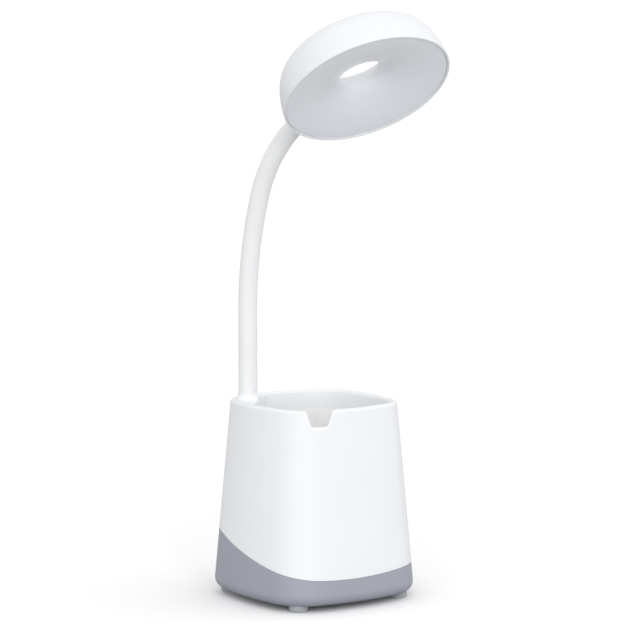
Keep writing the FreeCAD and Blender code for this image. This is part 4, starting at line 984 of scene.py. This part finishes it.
# Light cover: a milky plastic ring that closes the head from below. From its flat outer
# rim it sweeps up into the hole like the bell of a trumpet.
COVER_SHARES = ((0.84, 0.075), (0.62, 0.16), (0.40, 0.30), (0.25, 0.44), (0.14, 0.58), (0.07, 0.72),
                (0.025, 0.86))
COVER_SINK = 0.0008
COVER_WALL = 0.0016
COVER_LIP = 0.0004
COVER_EDGE_ROLL = 0.0003
COVER_SKIRT = 0.0033
COVER_RADIUS = MOUTH_RADIUS - PLAY
COVER_TOP = HOLE_BOTTOM - PLAY
MILK_DEPTH = 0.003
cover_knots = ([Vector((COVER_RADIUS, 0, COVER_SINK))]
               + [Vector((ring_reach(reach), 0, HOLE_BOTTOM * height)) for reach, height in COVER_SHARES]
               + [Vector((HOLE_RADIUS, 0, COVER_TOP - COVER_LIP))])


def through(knots, resolution=8):
    """A smooth line through points."""
    ways = [(after - before).normalized() for before, after in zip(knots, knots[2:])]
    ways = [(knots[1] - knots[0]).normalized()] + ways + [(knots[-1] - knots[-2]).normalized()]
    points = [knots[0]]
    for k in range(len(knots) - 1):
        pull = (knots[k + 1] - knots[k]).length / 3
        points += interpolate_bezier(knots[k], knots[k] + ways[k] * pull, knots[k + 1] - ways[k + 1] * pull,
                                     knots[k + 1], resolution)[1:]
    return points


lower_face = through(cover_knots)
lift = Vector((0, 0, COVER_WALL))
cover_outline = (
    rolled_corner(lower_face[0], lower_face[0] + lift, lower_face[1], COVER_EDGE_ROLL)
    + lower_face[2:]
    + [Vector((HOLE_RADIUS, 0, COVER_TOP)), Vector((HOLE_RADIUS + COVER_WALL, 0, COVER_TOP))]
    + [spot + lift for spot in lower_face[::-1]
       if HOLE_RADIUS + COVER_WALL < spot.x < COVER_RADIUS - COVER_WALL and spot.z + COVER_WALL < COVER_TOP]
    + [Vector((COVER_RADIUS - COVER_WALL, 0, COVER_SINK + COVER_SKIRT)),
       Vector((COVER_RADIUS, 0, COVER_SINK + COVER_SKIRT))]
)
cover = head_ring(cover_outline)
bmesh.ops.transform(cover, matrix=head_place, verts=cover.verts)
milky = moulded("milky_acrylic", (0.825, 0.85, 0.91), 0.3, grain=0.004, relief=0.000003, coat=1.0)
milky_shader = milky.node_tree.nodes["Principled BSDF"]
milky_shader.inputs["Coat Roughness"].default_value = 0.06
milky_shader.inputs["Subsurface Weight"].default_value = 0.25
milky_shader.inputs["Subsurface Radius"].default_value = (MILK_DEPTH, MILK_DEPTH, MILK_DEPTH)
milky_shader.inputs["Subsurface Scale"].default_value = 1.0
finish_piece(cover, "light_cover", milky, "head", "milky_diffuser", "diffuser")

# Works inside: what the shells hide keeps its plain form. Plated steel for the ballast,
# screws and gooseneck, printed boards, a wrapped cell and small black mouldings.
plain_steel = rolled_steel("plain_steel", (0.60, 0.60, 0.61), 0.32, (1, 1, 0.15))
zinc_steel = rolled_steel("zinc_steel", (0.46, 0.47, 0.48), 0.42, (0.1, 1, 1))
black_plastic = moulded("black_plastic", (0.03, 0.03, 0.033), 0.5)
board_green = moulded("board_green", (0.025, 0.13, 0.06), 0.35, grain=0.0012, relief=0.00003, drift=0.004)
board_white = moulded("board_white", (0.78, 0.78, 0.76), 0.4, grain=0.0012, relief=0.00003)
led_phosphor = moulded("led_phosphor", (0.85, 0.66, 0.16), 0.3, grain=0.0006, relief=0.00002)
cell_wrap = moulded("cell_wrap", (0.02, 0.10, 0.26), 0.22, grain=0.003, relief=0.00003)
inside = (
    (plain_steel, ("housing_screws", "board_screws", "led_screws", "clamp_screws", "neck_stem", "neck_washer",
                   "neck_nut", "head_ferrule", *(f"neck_core_{k}" for k in range(HINGES + 1)))),
    (zinc_steel, ("ballast_plate",)),
    (black_plastic, ("battery_cradle", "tact_switch", "switch_plunger", "neck_clamp")),
    (board_green, ("main_board",)),
    (board_white, ("led_board",)),
    (led_phosphor, ("leds",)),
    (cell_wrap, ("battery_cell",)),
)
for finish, names in inside:
    for name in names:
        for material_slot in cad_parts[name].material_slots:
            material_slot.material = finish
